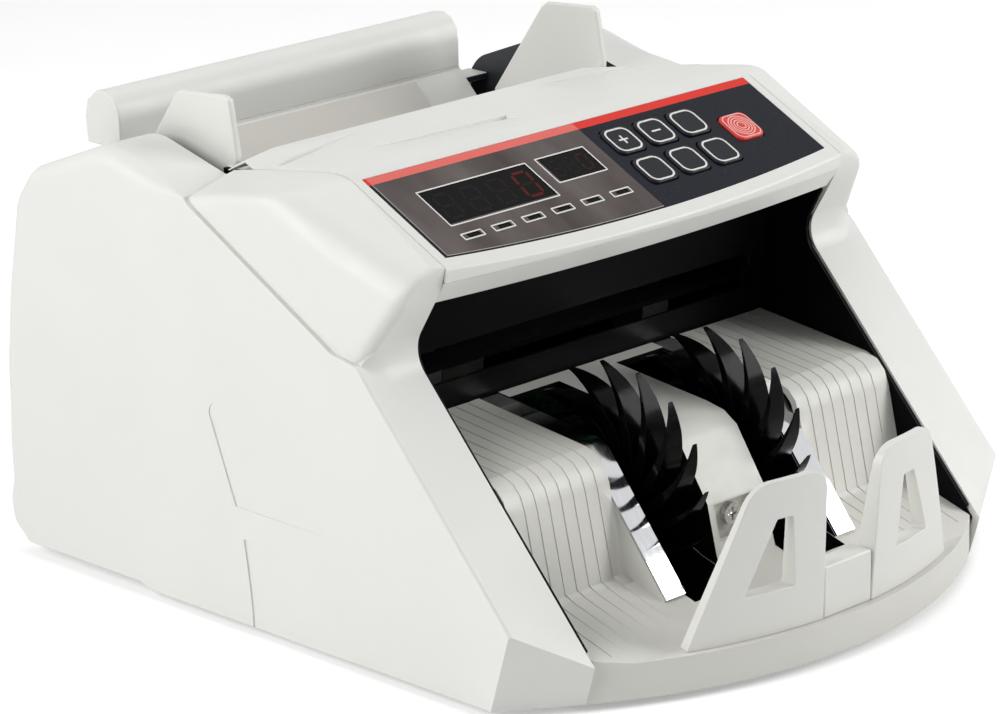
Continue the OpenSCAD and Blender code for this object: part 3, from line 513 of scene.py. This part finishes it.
def finished(meshes, node, sharp=28.0, inner=None, flat=None):
    """One piece in place of a CAD node, from meshes in millimetres.

    Faces that pass the test inner get painted shade, a dark colour; those that pass the test flat are not
    smoothed.
    """
    form = bmesh.new()
    for mesh in meshes:
        form.from_mesh(mesh)
        bpy.data.meshes.remove(mesh)
    bmesh.ops.scale(form, vec=(MM, MM, MM), verts=form.verts)
    if inner:
        split_walls(form)
    for face in form.faces:
        face.smooth = not (flat and flat(face))
        face.material_index = 1 if inner and inner(face) else 0
    mesh = bpy.data.meshes.new(node + "_look")
    form.to_mesh(mesh)
    form.free()
    mesh.set_sharp_from_angle(angle=math.radians(sharp))
    piece = linked(node + "_look", mesh)
    piece.modifiers.new("normals", "WEIGHTED_NORMAL").keep_sharp = True
    mesh.materials.append(NODES[node].data.materials[0])
    if inner:
        # Second slot: painted shade for the hopper walls
        mesh.materials.append(PAINTED_SHADE)
    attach(piece, NODES[node]["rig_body"])
    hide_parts(node)


def smooth_step(value, low, high):
    t = max(0.0, min(1.0, (value - low) / (high - low)))
    return t * t * (3 - 2 * t)


def side_edge(p):
    """Radius of the outer edge of a side cover: soft along the top and the rear, tight elsewhere."""
    y, z = p
    if y > 46.9 and z > 140.0:
        return 0.7 + 6.3 * smooth_step(y, 46.9, 66.0)
    if y > 120.0 and z > 6.0:
        return 1.5 + 5.5 * smooth_step(z, 24.0, 70.0)
    if z < 6.0 or (z > 110.5 and y < 47.0):
        return 0.6
    return 1.2


def facet_plane(inset=0.0):
    """Point and inward normal of the facet at the front foot."""
    level = math.cos(FACET_LEAN)
    normal = Vector((-math.sin(FACET_TURN) * level, math.cos(FACET_TURN) * level, math.sin(FACET_LEAN)))
    return FACET_AT + normal * inset, normal


def side_cover():
    """Right side cover with soft outer edges and two recesses that fade out to the front."""
    outline = rounded(SIDE_CORNERS, 6)
    points = fine(outline, 3.0)
    moves = mitres(points)
    radii = [side_edge(p) for p in points]
    loops = [[(CHEEK_IN, p.x, p.y) for p in points]]
    steps = 8
    for k in range(steps + 1):
        a = math.pi / 2 * k / steps
        loops.append([(HALF_W - r * (1 - math.sin(a)), *(p + m * (r * (1 - math.cos(a)))))
                      for p, m, r in zip(points, moves, radii)])
    solid = loft(loops)
    keep_side(solid, *facet_plane())
    insets = (WALL, WALL + 0.1, WALL + 0.2)
    corners = list(zip(outline, mitres(outline)))
    inside, mouth, throat = ([p + m * inset for p, m in corners] for inset in insets)
    hollows = [prism(inside, CHEEK_IN + WALL, HALF_W - WALL),
               prism(mouth, CHEEK_IN - 1, CHEEK_IN + WALL + 0.5),
               prism(throat, CHEEK_IN - 2, CHEEK_IN + WALL + 0.7)]
    keep_side(hollows[1], Vector((0, 0, HOPPER_Z)), Vector((0, 0, -1)))
    keep_side(hollows[2], Vector((0, HOPPER_Y, 0)), Vector((0, -1, 0)))
    for k, hollow in enumerate(hollows):
        keep_side(hollow, *facet_plane(WALL + 0.1 * k))
    upper = prism(rounded(UPPER_RECESS, 8), HALF_W - WALL, HALF_W + 1)
    deep = HALF_W - RECESS
    keep_side(upper, *plane_of((deep, 39.5, 84.8), (deep, 23.6, 46.2), (HALF_W, -30, 45.8)))
    deepest = HALF_W - 2.5 * RECESS
    keep_side(upper, *plane_of((HALF_W, 26, 81), (HALF_W, -30, 45.8), (deepest, 23.6, 46.2)))
    lower = prism(LOWER_RECESS, HALF_W - WALL, HALF_W + 1)
    keep_side(lower, *plane_of((deep, 18, 0), (deep, 18, 50), (HALF_W, -40, 20)))
    return carved(solid, hollows + [upper, lower])


def panel_z(y):
    """Height of the panel's plane."""
    return RIDGE.y + (y - RIDGE.x) * SLOPE


def plate_profile(x):
    """Side view of the top plate at x: outside from the hopper lip to the nose, then back inside."""
    front = FRONT_Y + FRONT_R - math.sqrt(FRONT_R ** 2 - x * x)
    nose = Vector((front, panel_z(front)))
    path = [LIP_LOW, LIP_TOP, RIDGE, nose]
    under = [p + m * WALL for p, m in zip(path, mitres(path, False))]
    drop = WALL / math.cos(PANEL_TILT)
    nose_low = Vector((front, PART_Z + 0.1))
    nose_in = Vector((front + NOSE_T, PART_Z + 0.1))
    nose_top = Vector((front + NOSE_T, panel_z(front + NOSE_T) - drop))
    corners = [(LIP_LOW, 0.4), (LIP_TOP, 1.2), (RIDGE, 9.0), (nose, 1.5), (nose_low, 0.4), (nose_in, 0.0),
               (nose_top, 0.0), (under[2], 0.0), (under[1], 0.0), (under[0], 0.0)]
    return rounded([(p.x, p.y, r) for p, r in corners], 6)


def on_plate(u, v, w):
    """Where a point of the panel lies, in millimetres."""
    c, s = math.cos(PANEL_TILT), math.sin(PANEL_TILT)
    return Vector((u, PANEL_Y + v * c - w * s, PANEL_Z + v * s + w * c))


def overlay_block(grow, low, high):
    """The overlay's outline, grown on all sides, as a solid between two heights."""
    half = OVERLAY_HALF + grow
    arc = [half * (1 - 2 * k / 48) for k in range(49)]
    points = [(-half, grow), (half, grow)]
    points += [(u, OVERLAY_R + OVERLAY_LOW - math.sqrt((OVERLAY_R + grow) ** 2 - u * u)) for u in arc]
    return loft([[on_plate(u, v, w) for u, v in points] for w in (low, high)])


def trough(a, b):
    """Dip with a steep wall on the hopper's side, deep at b and gone at a."""
    c, s = math.cos(REAR_TURN), math.sin(REAR_TURN)

    def world(p):
        return Vector((p[0], RIDGE.x + p[1] * c + p[2] * s, RIDGE.y - p[1] * s + p[2] * c))

    def section(p, deep):
        x, wall = p
        front = wall - TROUGH_W
        corners = ((wall, TROUGH_TOP), (wall, -deep), (front, TROUGH_UP), (front, TROUGH_TOP))
        return [world((x, v, w)) for v, w in corners]

    loops = [section(a, TROUGH_UP), section(b, TROUGH_DEEP)]
    return loft(loops if a[0] < b[0] else loops[::-1])


CREST = Vector((CHEEK_IN - 0.5, RIDGE.x, RIDGE.y))
CREST_LOW = Vector((CHEEK_IN, RIDGE.x, RIDGE.y - 0.1))
CREST_BACK = Vector((CHEEK_IN, 16.0, RIDGE.y - 0.1 - 22.0 * math.tan(REAR_TURN)))
LIP_END = Vector((CHEEK_IN - 23, LIP_TOP.x, LIP_TOP.y - 0.1))
WING_BACK = Vector((HALF_W - 2.4, 5.0, 162.8))
WING_TIP = Vector((HALF_W - 10.5, -48.4, 141.4))
FOOT_BACK = Vector((HALF_W, 46.9, 154.1))
FOOT_FRONT = Vector((HALF_W, -26.0, 112.7))


def mirror(v):
    return Vector((-v.x, v.y, v.z))


def top_plate():
    """Top cover: soft crest, bowed nose, seat of the overlay and the troughs in front of the hopper."""
    stations = [(CHEEK_IN - SEAM) * k / PLATE_STEPS for k in range(-PLATE_STEPS, PLATE_STEPS + 1)]
    solid = loft([[(x, p.x, p.y) for p in plate_profile(x)] for x in stations])
    point, normal = plane_of(CREST_BACK, LIP_END, FOOT_BACK)
    keep_side(solid, point, -normal)
    keep_side(solid, mirror(point), -mirror(normal))
    cutters = [overlay_block(SEAT_GAP, -OVERLAY_T, 4.0), overlay_block(-SEAT_LEDGE, -8.0, 2.0)]
    cutters += [trough(a, b) for a, b in TROUGHS]
    return carved(solid, cutters)


BOW_Y = FRONT_Y + FRONT_R - math.sqrt(FRONT_R ** 2 - CHEEK_IN ** 2)
FLANK_PLANES = {
    "top": plane_of(CREST, WING_BACK, WING_TIP),
    "shoulder": plane_of(WING_BACK, FOOT_BACK, FOOT_FRONT),
    "side": plane_of(WING_BACK, FOOT_FRONT, WING_TIP),
    "rear": plane_of(CREST_LOW, CREST_BACK, WING_BACK),
    "rear_low": plane_of(CREST_BACK, LIP_END, FOOT_BACK),
    "panel": (Vector((0, RIDGE.x, RIDGE.y)), Vector((0, -math.sin(PANEL_TILT), math.cos(PANEL_TILT)))),
    "front_low": (Vector((0, -54.0, PART_Z)), Vector((0, -26.6, -15.7)).normalized()),
    "groove": (Vector((0, -27.0, 115.4)), Vector((0, 39.0, -70.7)).normalized()),
    "rear_foot": (Vector((0, 44.7, 152.6)), Vector((0, 2.2, -2.0)).normalized()),
    "foot": (Vector((0, -38.0, 110.0)), Vector((0, 2.1, -12.3)).normalized()),
    "nose": (Vector((CHEEK_IN, BOW_Y, 0)), Vector((CHEEK_IN, BOW_Y - FRONT_Y - FRONT_R, 0)).normalized()),
    "inside": (Vector((CHEEK_IN - 6.0, 0, 0)), Vector((-1, 0, 0))),
    "back": (Vector((0, 62.0, 0)), Vector((0, 1, 0))),
    "bottom": (Vector((0, 0, 100.0)), Vector((0, 0, -1))),
}
# Each of these planes runs into the ones before it; the number says how softly
SOFT_PLANES = (("top", 0.0), ("side", 7.0), ("nose", 2.5), ("front_low", 4.5), ("shoulder", 3.0),
               ("rear", 3.0), ("rear_low", 3.0), ("inside", 0.0), ("back", 0.0), ("bottom", 0.0))
CRISP_PLANES = ("panel", "groove", "rear_foot", "foot")
FLANK_STEPS = 24
FLANK_REACH = 4.0
FLANK_MIDDLE = Vector((112.0, -8.0, 140.0))
FLANK_SPAN = Vector((18.0, 58.0, 34.0))
# x and radius of the hollow corner under the flank
FILLET_FADE = ((CHEEK_IN, 12.0), (117.0, 12.0), (120.0, 11.0), (122.5, 9.0), (124.5, 6.5), (126.0, 4.0),
               (127.0, 1.5))
GROOVE_FLOOR = ((-34, 110.3), (-25, 111.5), (46, 150.6), (46, 154), (44, 155), (-26, 116.4), (-34, 112.2))
GROOVE_DEEP = 2.2


def round_max(a, b, radius):
    """The greater of two depths, with a round change from one to the other."""
    if min(a, b) > -radius:
        return math.hypot(a + radius, b + radius) - radius
    return max(a, b)


def flank(mirrored):
    """Flank of a side cover: a ball pushed out to faces that run softly into each other."""
    form = bmesh.new()
    bmesh.ops.create_icosphere(form, subdivisions=6, radius=1.0)
    planes = [(*FLANK_PLANES[tag], radius) for tag, radius in SOFT_PLANES]
    depths = [normal.dot(FLANK_MIDDLE - point) for point, normal, _ in planes]
    for vert in form.verts:
        way = vert.co * FLANK_SPAN
        rates = [normal.dot(way) for _, normal, _ in planes]
        low, high = 0.0, FLANK_REACH
        for _ in range(FLANK_STEPS):
            t = (low + high) / 2
            out = depths[0] + rates[0] * t
            for depth, rate, (_, _, radius) in zip(depths[1:], rates[1:], planes[1:]):
                out = round_max(out, depth + rate * t, radius)
            low, high = (t, high) if out < 0 else (low, t)
        vert.co = FLANK_MIDDLE + way * low
    keep_side(form, Vector((CHEEK_IN, 0, 0)), Vector((1, 0, 0)))
    for tag in CRISP_PLANES:
        point, normal = FLANK_PLANES[tag]
        keep_side(form, point, -normal)
    return baked(as_object(form, "flank", mirrored))


def flank_foot(mirrored):
    """Hollow corner between a flank and the cheek, and the floor of the groove along the flank's foot."""
    wing, corner, low = Vector((-54.0, PART_Z)), Vector((-38.0, 110.5)), Vector((-124.0, 16.5))
    loops = []
    for x, radius in FILLET_FADE:
        arc = arc_at(wing, corner, low, radius, 12)
        loops.append([(x, p.x, p.y) for p in arc + [corner + Vector((4.0, 0.5))]])
    groove = prism(GROOVE_FLOOR, CHEEK_IN, HALF_W - GROOVE_DEEP)
    return [baked(as_object(form, "foot", mirrored)) for form in (loft(loops), groove)]


def mirrored_copy(mesh):
    other = mesh.copy()
    swap_sides(other)
    return other


STOP_R = 187.0
STOP_Y = -147.3
STOP_Z = 14.0
STOP_LEAN = 0.045
STOP_OUTLINE = ((12.85, 2.02, 0.0), (71.0, 2.02, 0.6), (46.5, 58.2, 11.0), (14.2, 58.2, 8.0))
STOP_WINDOW = ((27.2, 18.0, 0.8), (49.0, 18.0, 0.8), (36.2, 44.2, 0.8), (29.4, 44.2, 0.8))
STOP_FOOT = 10.5
STOP_TOP = 58.2
STOP_TAPER = 0.7
STOP_THIN = 0.5
STOP_EDGE = 1.3
# Where a stop is split along its length, so that it can bend
STOP_CUTS = [3.0 * k + 0.4 for k in range(5, 24)]


def front_stop(mirrored):
    """Stop plate on the bow of the tray rim: it leans out, thick at the foot and thin at the top."""
    window = prism(rounded(STOP_WINDOW, 4), -1.0, STOP_FOOT + 1.0)
    flat = carved(prism(rounded(STOP_OUTLINE, 8), 0.0, STOP_FOOT), [window])
    piece = linked("stop", flat)
    bevel = piece.modifiers.new("round", "BEVEL")
    bevel.limit_method = "ANGLE"
    bevel.angle_limit = math.radians(40)
    bevel.width = STOP_EDGE
    bevel.segments = 4
    mesh = baked(piece)
    form = bmesh.new()
    form.from_mesh(mesh)
    bpy.data.meshes.remove(mesh)
    for along in STOP_CUTS:
        bmesh.ops.bisect_plane(form, geom=everything(form), dist=1e-4,
                               plane_co=(0, along, 0), plane_no=(0, 1, 0))
    for vert in form.verts:
        deep, along, high = vert.co
        thin = 1 - STOP_TAPER * high / STOP_TOP
        thin *= 1 - STOP_THIN * (along - STOP_OUTLINE[0][0]) / STOP_TOP
        reach = STOP_R + STOP_LEAN * high - deep * thin
        turn = along / STOP_R
        vert.co = (reach * math.sin(turn), STOP_Y + STOP_R - reach * math.cos(turn), STOP_Z + high)
    bmesh.ops.recalc_face_normals(form, faces=form.faces)
    return baked(as_object(form, "stop", mirrored))


right_side = side_cover()
left_side = mirrored_copy(right_side)


def hopper_wall(face):
    """Inner wall of a side cover beside the hopper, which gets painted shade."""
    middle = face.calc_center_median() / MM
    return abs(middle.x) < INNER_X and middle.y > HOPPER_Y and middle.z > HOPPER_Z


def in_trough(face):
    """Faces of the troughs, whose slight turns would be lost in smooth shading."""
    middle = face.calc_center_median() / MM
    level = Vector((0, math.sin(REAR_TURN), math.cos(REAR_TURN)))
    behind_ridge = RIDGE.x + 10 < middle.y < LIP_TOP.x - 1
    return behind_ridge and face.normal.z > 0.3 and face.normal.dot(level) < TROUGH_DOT


finished([right_side, flank(False)] + flank_foot(False), "right_side_cover", inner=hopper_wall)
finished([left_side, flank(True)] + flank_foot(True), "left_side_cover", inner=hopper_wall)
finished([top_plate()], "top_cover", flat=in_trough)
finished([front_stop(False)], "right_front_stop")
finished([front_stop(True)], "left_front_stop")


# Copies of CAD nodes with better edges, shading or colours

WELD = 0.002 * MM
# Wheel wells and grooves of the tray
WELL_IN = 15.0
WELL_OUT = 40.5
WELL_FRONT = -125.0
GROOVE_W = 0.6
GROOVE_RISE = 0.35
# Where the shading of a steel strip changes, and how far it turns at the top, at the bend and at the foot
STRIP_YS = (-60.0, -95.0)
STRIP_TURNS = [math.radians(a) for a in (8.0, 24.0, 54.0)]
# Ends of the rear cover that show inside the hopper and get painted shade
REAR_ENDS = 90.0
REAR_IN = 129.5


def welded(mesh, flat):
    """A CAD mesh with its corners joined, and without edges that turn by less than flat degrees."""
    form = bmesh.new()
    form.from_mesh(mesh)
    bmesh.ops.remove_doubles(form, verts=form.verts, dist=WELD)
    bmesh.ops.dissolve_limit(form, angle_limit=math.radians(flat), verts=form.verts, edges=form.edges)
    return form


def softened(node, width, segments, least=50.0, material=None, sharp=32.0):
    """A copy of a CAD node with every edge rounded that turns by more than least degrees."""
    source = NODES[node]
    mesh = source.data.copy()
    mesh.name = node + "_soft"
    form = welded(mesh, 0.4)
    weight = form.edges.layers.float.new("bevel_weight_edge")
    for edge in form.edges:
        if len(edge.link_faces) == 2:
            turn = math.degrees(abs(edge.calc_face_angle_signed()))
            edge[weight] = 1.0 if turn > least else 0.0
            edge.smooth = turn > least or turn < sharp
    for face in form.faces:
        face.smooth = True
        face.material_index = 0
    form.to_mesh(mesh)
    form.free()
    mesh.materials.clear()
    mesh.materials.append(material or source.data.materials[0])
    piece = linked(node + "_look", mesh)
    bevel = piece.modifiers.new("round", "BEVEL")
    bevel.limit_method = "WEIGHT"
    bevel.width = width * MM
    bevel.segments = segments
    bevel.use_clamp_overlap = False
    normals = piece.modifiers.new("normals", "WEIGHTED_NORMAL")
    normals.keep_sharp = True
    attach(piece, source["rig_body"])
    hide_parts(node)
    return piece


def tray_look():
    """The tray with shallow grooves, and its wheel wells painted black as shade."""
    source = NODES["stacker_tray"]
    mesh = source.data.copy()
    mesh.name = "stacker_tray_soft"
    form = welded(mesh, 0.5)
    raised = {}
    for face in form.faces:
        xs = [abs(vert.co.x) / MM for vert in face.verts]
        middle = face.calc_center_median() / MM
        narrow = max(xs) - min(xs) < GROOVE_W + 0.05
        if abs(face.normal.x) < 0.05 and min(xs) > WELL_OUT + 10 and narrow:
            for vert in face.verts:
                raised[vert] = face.normal.copy()
        # Painted shade: walls and floors of the wheel wells take black plastic
        beside = WELL_IN - 0.5 < abs(middle.x) < WELL_OUT + 1 and abs(face.normal.x) > 0.8
        within = WELL_IN + 0.4 < abs(middle.x) < WELL_OUT - 0.4 and face.normal.z < 0.5
        face.material_index = 1 if middle.y > WELL_FRONT and (beside or within) else 0
        face.smooth = middle.y > WELL_FRONT
    for vert, normal in raised.items():
        vert.co += normal * (GROOVE_RISE * MM)
    form.to_mesh(mesh)
    form.free()
    mesh.set_sharp_from_angle(angle=math.radians(30))
    mesh.materials.append(MATERIALS["black_plastic"])
    piece = linked("stacker_tray_look", mesh)
    piece.modifiers.new("normals", "WEIGHTED_NORMAL").keep_sharp = True
    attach(piece, source["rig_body"])
    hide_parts("stacker_tray")


def strip_look(node):
    """A steel strip whose bend is spread along it, as in polished sheet."""
    mesh = NODES[node].data.copy()
    mesh.name = node + "_soft"
    form = welded(mesh, 0.5)
    for face in form.faces:
        face.smooth = True
    form.to_mesh(mesh)
    form.free()
    normals = []
    for face in mesh.polygons:
        upper = abs(face.normal.x) < 0.1 and face.normal.z > 0.3
        for index in face.vertices:
            y = mesh.vertices[index].co.y / MM
            part = 0 if y > STRIP_YS[0] else 1 if y >= STRIP_YS[1] else 2
            turn = STRIP_TURNS[part]
            normals.append((0.0, -math.sin(turn), math.cos(turn)) if upper else tuple(face.normal))
    mesh.normals_split_custom_set(normals)
    piece = linked(node + "_look", mesh)
    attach(piece, NODES[node]["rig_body"])
    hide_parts(node)


def paint_shade_on_ends(rear):
    """Paints shade on the ends of the rear cover where they show inside the hopper."""
    rear.data.materials.append(PAINTED_SHADE)
    form = bmesh.new()
    form.from_mesh(rear.data)
    for x in (-REAR_ENDS, REAR_ENDS):
        bmesh.ops.bisect_plane(form, geom=everything(form), dist=1e-7,
                               plane_co=(x * MM, 0, 0), plane_no=(1, 0, 0))
    for face in form.faces:
        middle = face.calc_center_median() / MM
        in_hopper = abs(middle.x) > REAR_ENDS and middle.z > HOPPER_Z and middle.y < REAR_IN
        # Painted shade: these faces take the dark colour
        if in_hopper and face.normal.y < 0.5:
            face.material_index = 1
    form.to_mesh(rear.data)
    form.free()


softened("cavity_lip", 0.6, 3, 30.0)
softened("stop_block", 0.9, 4, 30.0)
tray_look()
strip_look("left_guide_strip")
strip_look("right_guide_strip")
for name in ("left_note_guide", "right_note_guide"):
    softened(name, 0.9, 4)
softened("hopper_plate", 0.8, 3)
for name in ("left_stacker_wheel", "right_stacker_wheel"):
    softened(name, 0.15, 2)
KEYS = ("key_plus", "key_minus", "key_upper", "key_lower_left", "key_lower_mid", "key_lower_right")
for name in KEYS:
    softened(name, 0.7, 4, material=KEY_BLACK)
softened("key_restart", 0.7, 4)
paint_shade_on_ends(softened("rear_cover", 0.5, 3))


# Printed and lit details of the panel

def round_rect(u, v, width, height, radius, steps=5):
    points = []
    for turn, (su, sv) in enumerate(((1, 1), (-1, 1), (-1, -1), (1, -1))):
        for step in range(steps + 1):
            angle = math.pi / 2 * (turn + step / steps)
            points.append((u + su * (width / 2 - radius) + radius * math.cos(angle),
                           v + sv * (height / 2 - radius) + radius * math.sin(angle)))
    return points


def circle(u, v, radius, steps=40):
    turns = [math.tau * i / steps for i in range(steps)]
    return [(u + radius * math.cos(turn), v + radius * math.sin(turn)) for turn in turns]


def printed(name, shapes, low, high, material, body="case"):
    """Thin printed shapes on the panel: each is (outline,) for a patch or (outer, inner) for a ring."""
    form = bmesh.new()
    for shape in shapes:
        loops = []
        for outline in shape:
            top = [form.verts.new(on_plate(u, v, high) * MM) for u, v in outline]
            foot = [form.verts.new(on_plate(u, v, low) * MM) for u, v in outline]
            loops.append((top, foot))
            count = len(outline)
            for i in range(count):
                j = (i + 1) % count
                form.faces.new((top[i], foot[i], foot[j], top[j]))
        if len(loops) == 1:
            form.faces.new(loops[0][0])
        else:
            outer, inner = loops[0][0], loops[1][0]
            count = len(outer)
            for i in range(count):
                j = (i + 1) % count
                form.faces.new((outer[i], outer[j], inner[j], inner[i]))
    bmesh.ops.recalc_face_normals(form, faces=form.faces)
    mesh = bpy.data.meshes.new(name)
    form.to_mesh(mesh)
    form.free()
    mesh.materials.append(material)
    piece = linked(name, mesh)
    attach(piece, body)


def outline_ring(u, v, width, height, line, radius):
    """Outer and inner edge of a printed frame."""
    inner = max(radius - line, 0.05)
    return (round_rect(u, v, width, height, radius),
            round_rect(u, v, width - 2 * line, height - 2 * line, inner))


PRINT_LOW = 0.0
MASK_HIGH = 0.03
PRINT_HIGH = 0.06
# Centre, width and height of the printed frames
MAIN = (-57.1, -22.0, 54.4, 19.6)
PRESET = (-12.6, -19.0, 25.2, 14.3)
LED_V = -37.9
LIGHTS = [(u - 0.75, LED_V, 10.1, 3.5) for u in LED_US]
FRAME_LINE = 0.6
FRAME_R = 0.5
# Centre, width and height of the masks that narrow the solid's openings; sizes alone for the lights
MAIN_MASK = (-57.0, -21.4, 63.6, 20.4)
PRESET_MASK = (-11.8, -19.0, 26.4, 15.0)
LED_MASK = (7.6, 5.0)
LED_GLASS = (6.0, 1.9)
MASK_LAP = 0.8
MASK_R = 0.3


def mask(outer, inner):
    return (round_rect(*outer, MASK_R), round_rect(*inner, MASK_R))


def lapped(u, v, width, height):
    """A window as far as its frame leaves it open."""
    return (u, v, width - MASK_LAP, height - MASK_LAP)


masks = [mask(MAIN_MASK, lapped(*MAIN)), mask(PRESET_MASK, lapped(*PRESET))]
masks += [mask((u, LED_V - 0.1, *LED_MASK), (u - 0.3, LED_V, *LED_GLASS)) for u in LED_US]
printed("window_masks", masks, PRINT_LOW, MASK_HIGH, MATERIALS["overlay_film"])
frames = [outline_ring(*window, FRAME_LINE, FRAME_R) for window in [MAIN, PRESET] + LIGHTS]
printed("window_frames", frames, PRINT_LOW, PRINT_HIGH, INK)

# Side, level and whether it is upright, for each bar of a digit
BARS = {"a": (0, 1, 0), "b": (1, 0.5, 1), "c": (1, -0.5, 1), "d": (0, -1, 0),
        "e": (-1, -0.5, 1), "f": (-1, 0.5, 1), "g": (0, 0, 0)}
DIGITS = {"8": "abcdefg", "0": "abcdef"}
SLANT = 0.12


def digit_bars(u, v, width, height, thick, bars):
    """Outlines of some of the seven bars of a slanted digit."""
    shapes = []
    half_w, half_h = width / 2, height / 2
    for bar in bars:
        side, level, upright = BARS[bar]
        mid = (side * half_w, level * half_h)
        reach = (half_h / 2 if upright else half_w) - thick * 0.35
        along = (0, 1) if upright else (1, 0)
        across = (1, 0) if upright else (0, 1)
        edge = thick / 2
        corners = ((-reach, 0), (-reach + edge, edge), (reach - edge, edge), (reach, 0),
                   (reach - edge, -edge), (-reach + edge, -edge))
        points = []
        for a, b in corners:
            x = mid[0] + along[0] * a + across[0] * b
            y = mid[1] + along[1] * a + across[1] * b
            points.append((u + x + y * SLANT, v + y))
        shapes.append((points,))
    return shapes


# Width, height and bar width of the digits, and their pitch
DIGIT = (7.2, 12.4, 1.3)
SMALL_DIGIT = (4.2, 8.0, 0.9)
DIGIT_PITCH = 13.0
SMALL_PITCH = 7.0
main_us = [MAIN[0] + (i - 1.5) * DIGIT_PITCH for i in range(4)]
preset_us = [PRESET[0] + (i - 1.0) * SMALL_PITCH for i in range(3)]
dark = [bar for u in main_us[:3] for bar in digit_bars(u, MAIN[1], *DIGIT, DIGITS["8"])]
dark += digit_bars(main_us[3], MAIN[1], *DIGIT, "g")
dark += [bar for u in preset_us[:2] for bar in digit_bars(u, PRESET[1], *SMALL_DIGIT, DIGITS["8"])]
lit = digit_bars(main_us[3], MAIN[1], *DIGIT, DIGITS["0"])
faint = digit_bars(preset_us[2], PRESET[1], *SMALL_DIGIT, DIGITS["0"])
printed("dark_bars", dark, GLASS_W, GLASS_W + BAR_T, DARK_BAR)
printed("lit_bars", lit, GLASS_W, GLASS_W + BAR_T, LIT_BAR)
printed("faint_bars", faint, GLASS_W, GLASS_W + BAR_T, FAINT_BAR)

RING_SIZE = 12.5
RING_LINE = 0.8
RING_R = 3.6
MARK_T = 0.04
SIGN_L = 4.6
SIGN_W = 0.8
for i, name in enumerate(KEYS):
    u = KEY_U + (i % 3) * KEY_PITCH
    v = ROW_1 if i < 3 else ROW_2
    marks = [outline_ring(u, v, RING_SIZE, RING_SIZE, RING_LINE, RING_R)]
    if name in ("key_plus", "key_minus"):
        marks.append((round_rect(u, v, SIGN_L, SIGN_W, 0.2),))
    if name == "key_plus":
        marks.append((round_rect(u, v + 1.35, SIGN_W, 1.9, 0.2),))
        marks.append((round_rect(u, v - 1.35, SIGN_W, 1.9, 0.2),))
    printed(name + "_mark", marks, KEY_TOP, KEY_TOP + MARK_T, INK, name + "_cap")
ARC_LINE = 0.45
ARC_RS = (2.0, 3.2, 4.4, 5.5)
RESTART_SIZE = 12.9
arcs = [(circle(RESTART_U, RESTART_V, r), circle(RESTART_U, RESTART_V, r - ARC_LINE)) for r in ARC_RS]
arcs.append(outline_ring(RESTART_U, RESTART_V, RESTART_SIZE, RESTART_SIZE, 0.5, 3.4))
printed("key_restart_mark", arcs, KEY_TOP, KEY_TOP + MARK_T, RED_RING, "key_restart_cap")


# Studio

def soft_light(name, at, size, power, target=(0.0, -0.02, 0.08)):
    """A square lamp that faces the target, in metres and watts."""
    data = bpy.data.lights.new(name, "AREA")
    data.shape = "SQUARE"
    data.size = size
    data.energy = power
    lamp = linked(name, data)
    lamp.location = at
    lamp.rotation_euler = (Vector(target) - Vector(at)).to_track_quat("-Z", "Y").to_euler()


soft_light("left_box", (-1.7, 0.35, 0.95), 1.3, 24.5)
soft_light("right_box", (1.5, -1.3, 0.9), 1.1, 28.0)
soft_light("top_box", (0.1, 0.3, 1.9), 1.5, 11.0)

world = bpy.data.worlds.new("studio")
scene.world = world
world.use_nodes = True
sky = world.node_tree
sky.nodes.clear()
ray = add(sky, "ShaderNodeLightPath")
seen = add(sky, "ShaderNodeBackground", Color=(1.0, 1.0, 1.0, 1.0), Strength=1.0)
fill = add(sky, "ShaderNodeBackground", Color=(0.97, 0.98, 1.0, 1.0), Strength=0.15)
direct = math_node(sky, "MAXIMUM", ray.outputs["Is Camera Ray"], ray.outputs["Is Glossy Ray"])
direct = math_node(sky, "MAXIMUM", direct, ray.outputs["Is Transmission Ray"])
chosen = add(sky, "ShaderNodeMixShader", i0=direct, i1=fill.outputs[0], i2=seen.outputs[0])
sky_out = add(sky, "ShaderNodeOutputWorld")
sky.links.new(chosen.outputs[0], sky_out.inputs[0])

FLOOR_REACH = 6.0
FLOOR_GLOW = 0.35
floor_mesh = bpy.data.meshes.new("floor")
corners = [(x * FLOOR_REACH, y * FLOOR_REACH, 0) for x, y in ((-1, -1), (1, -1), (1, 1), (-1, 1))]
floor_mesh.from_pydata(corners, [], [(0, 1, 2, 3)])
paper = moulded("floor_paper", (0.93, 0.93, 0.93), 0.8, 0.8, 0.05, specular=0.0)
paper_tree = paper.node_tree
paper_shader = next(node for node in paper_tree.nodes if node.type == "BSDF_PRINCIPLED")
paper_shader.inputs["Emission Color"].default_value = (1.0, 1.0, 1.0, 1.0)
paper_ray = add(paper_tree, "ShaderNodeLightPath").outputs["Is Camera Ray"]
paper_glow = math_node(paper_tree, "MULTIPLY", paper_ray, FLOOR_GLOW)
paper_tree.links.new(paper_glow, paper_shader.inputs["Emission Strength"])
floor_mesh.materials.append(paper)
floor = linked("floor", floor_mesh)

# Camera
level = math.cos(CAM_RISE)
back = Vector((math.sin(CAM_TURN) * level, -math.cos(CAM_TURN) * level, math.sin(CAM_RISE)))
right = Vector((math.cos(CAM_TURN), math.sin(CAM_TURN), 0.0))
up = back.cross(right)
c, s = math.cos(CAM_ROLL), math.sin(CAM_ROLL)
cam_right = c * right + s * up
cam_up = c * up - s * right
lens = bpy.data.cameras.new("photo_camera")
lens.sensor_width = SENSOR
lens.lens = FOCAL_PX / PHOTO_W * SENSOR
lens.clip_end = 20.0
camera = linked("photo_camera", lens)
cam_turn = Matrix((cam_right, cam_up, back)).transposed().to_4x4()
camera.matrix_world = Matrix.Translation(CAM_AT * MM) @ cam_turn
scene.camera = camera

scene.view_settings.view_transform = "Standard"
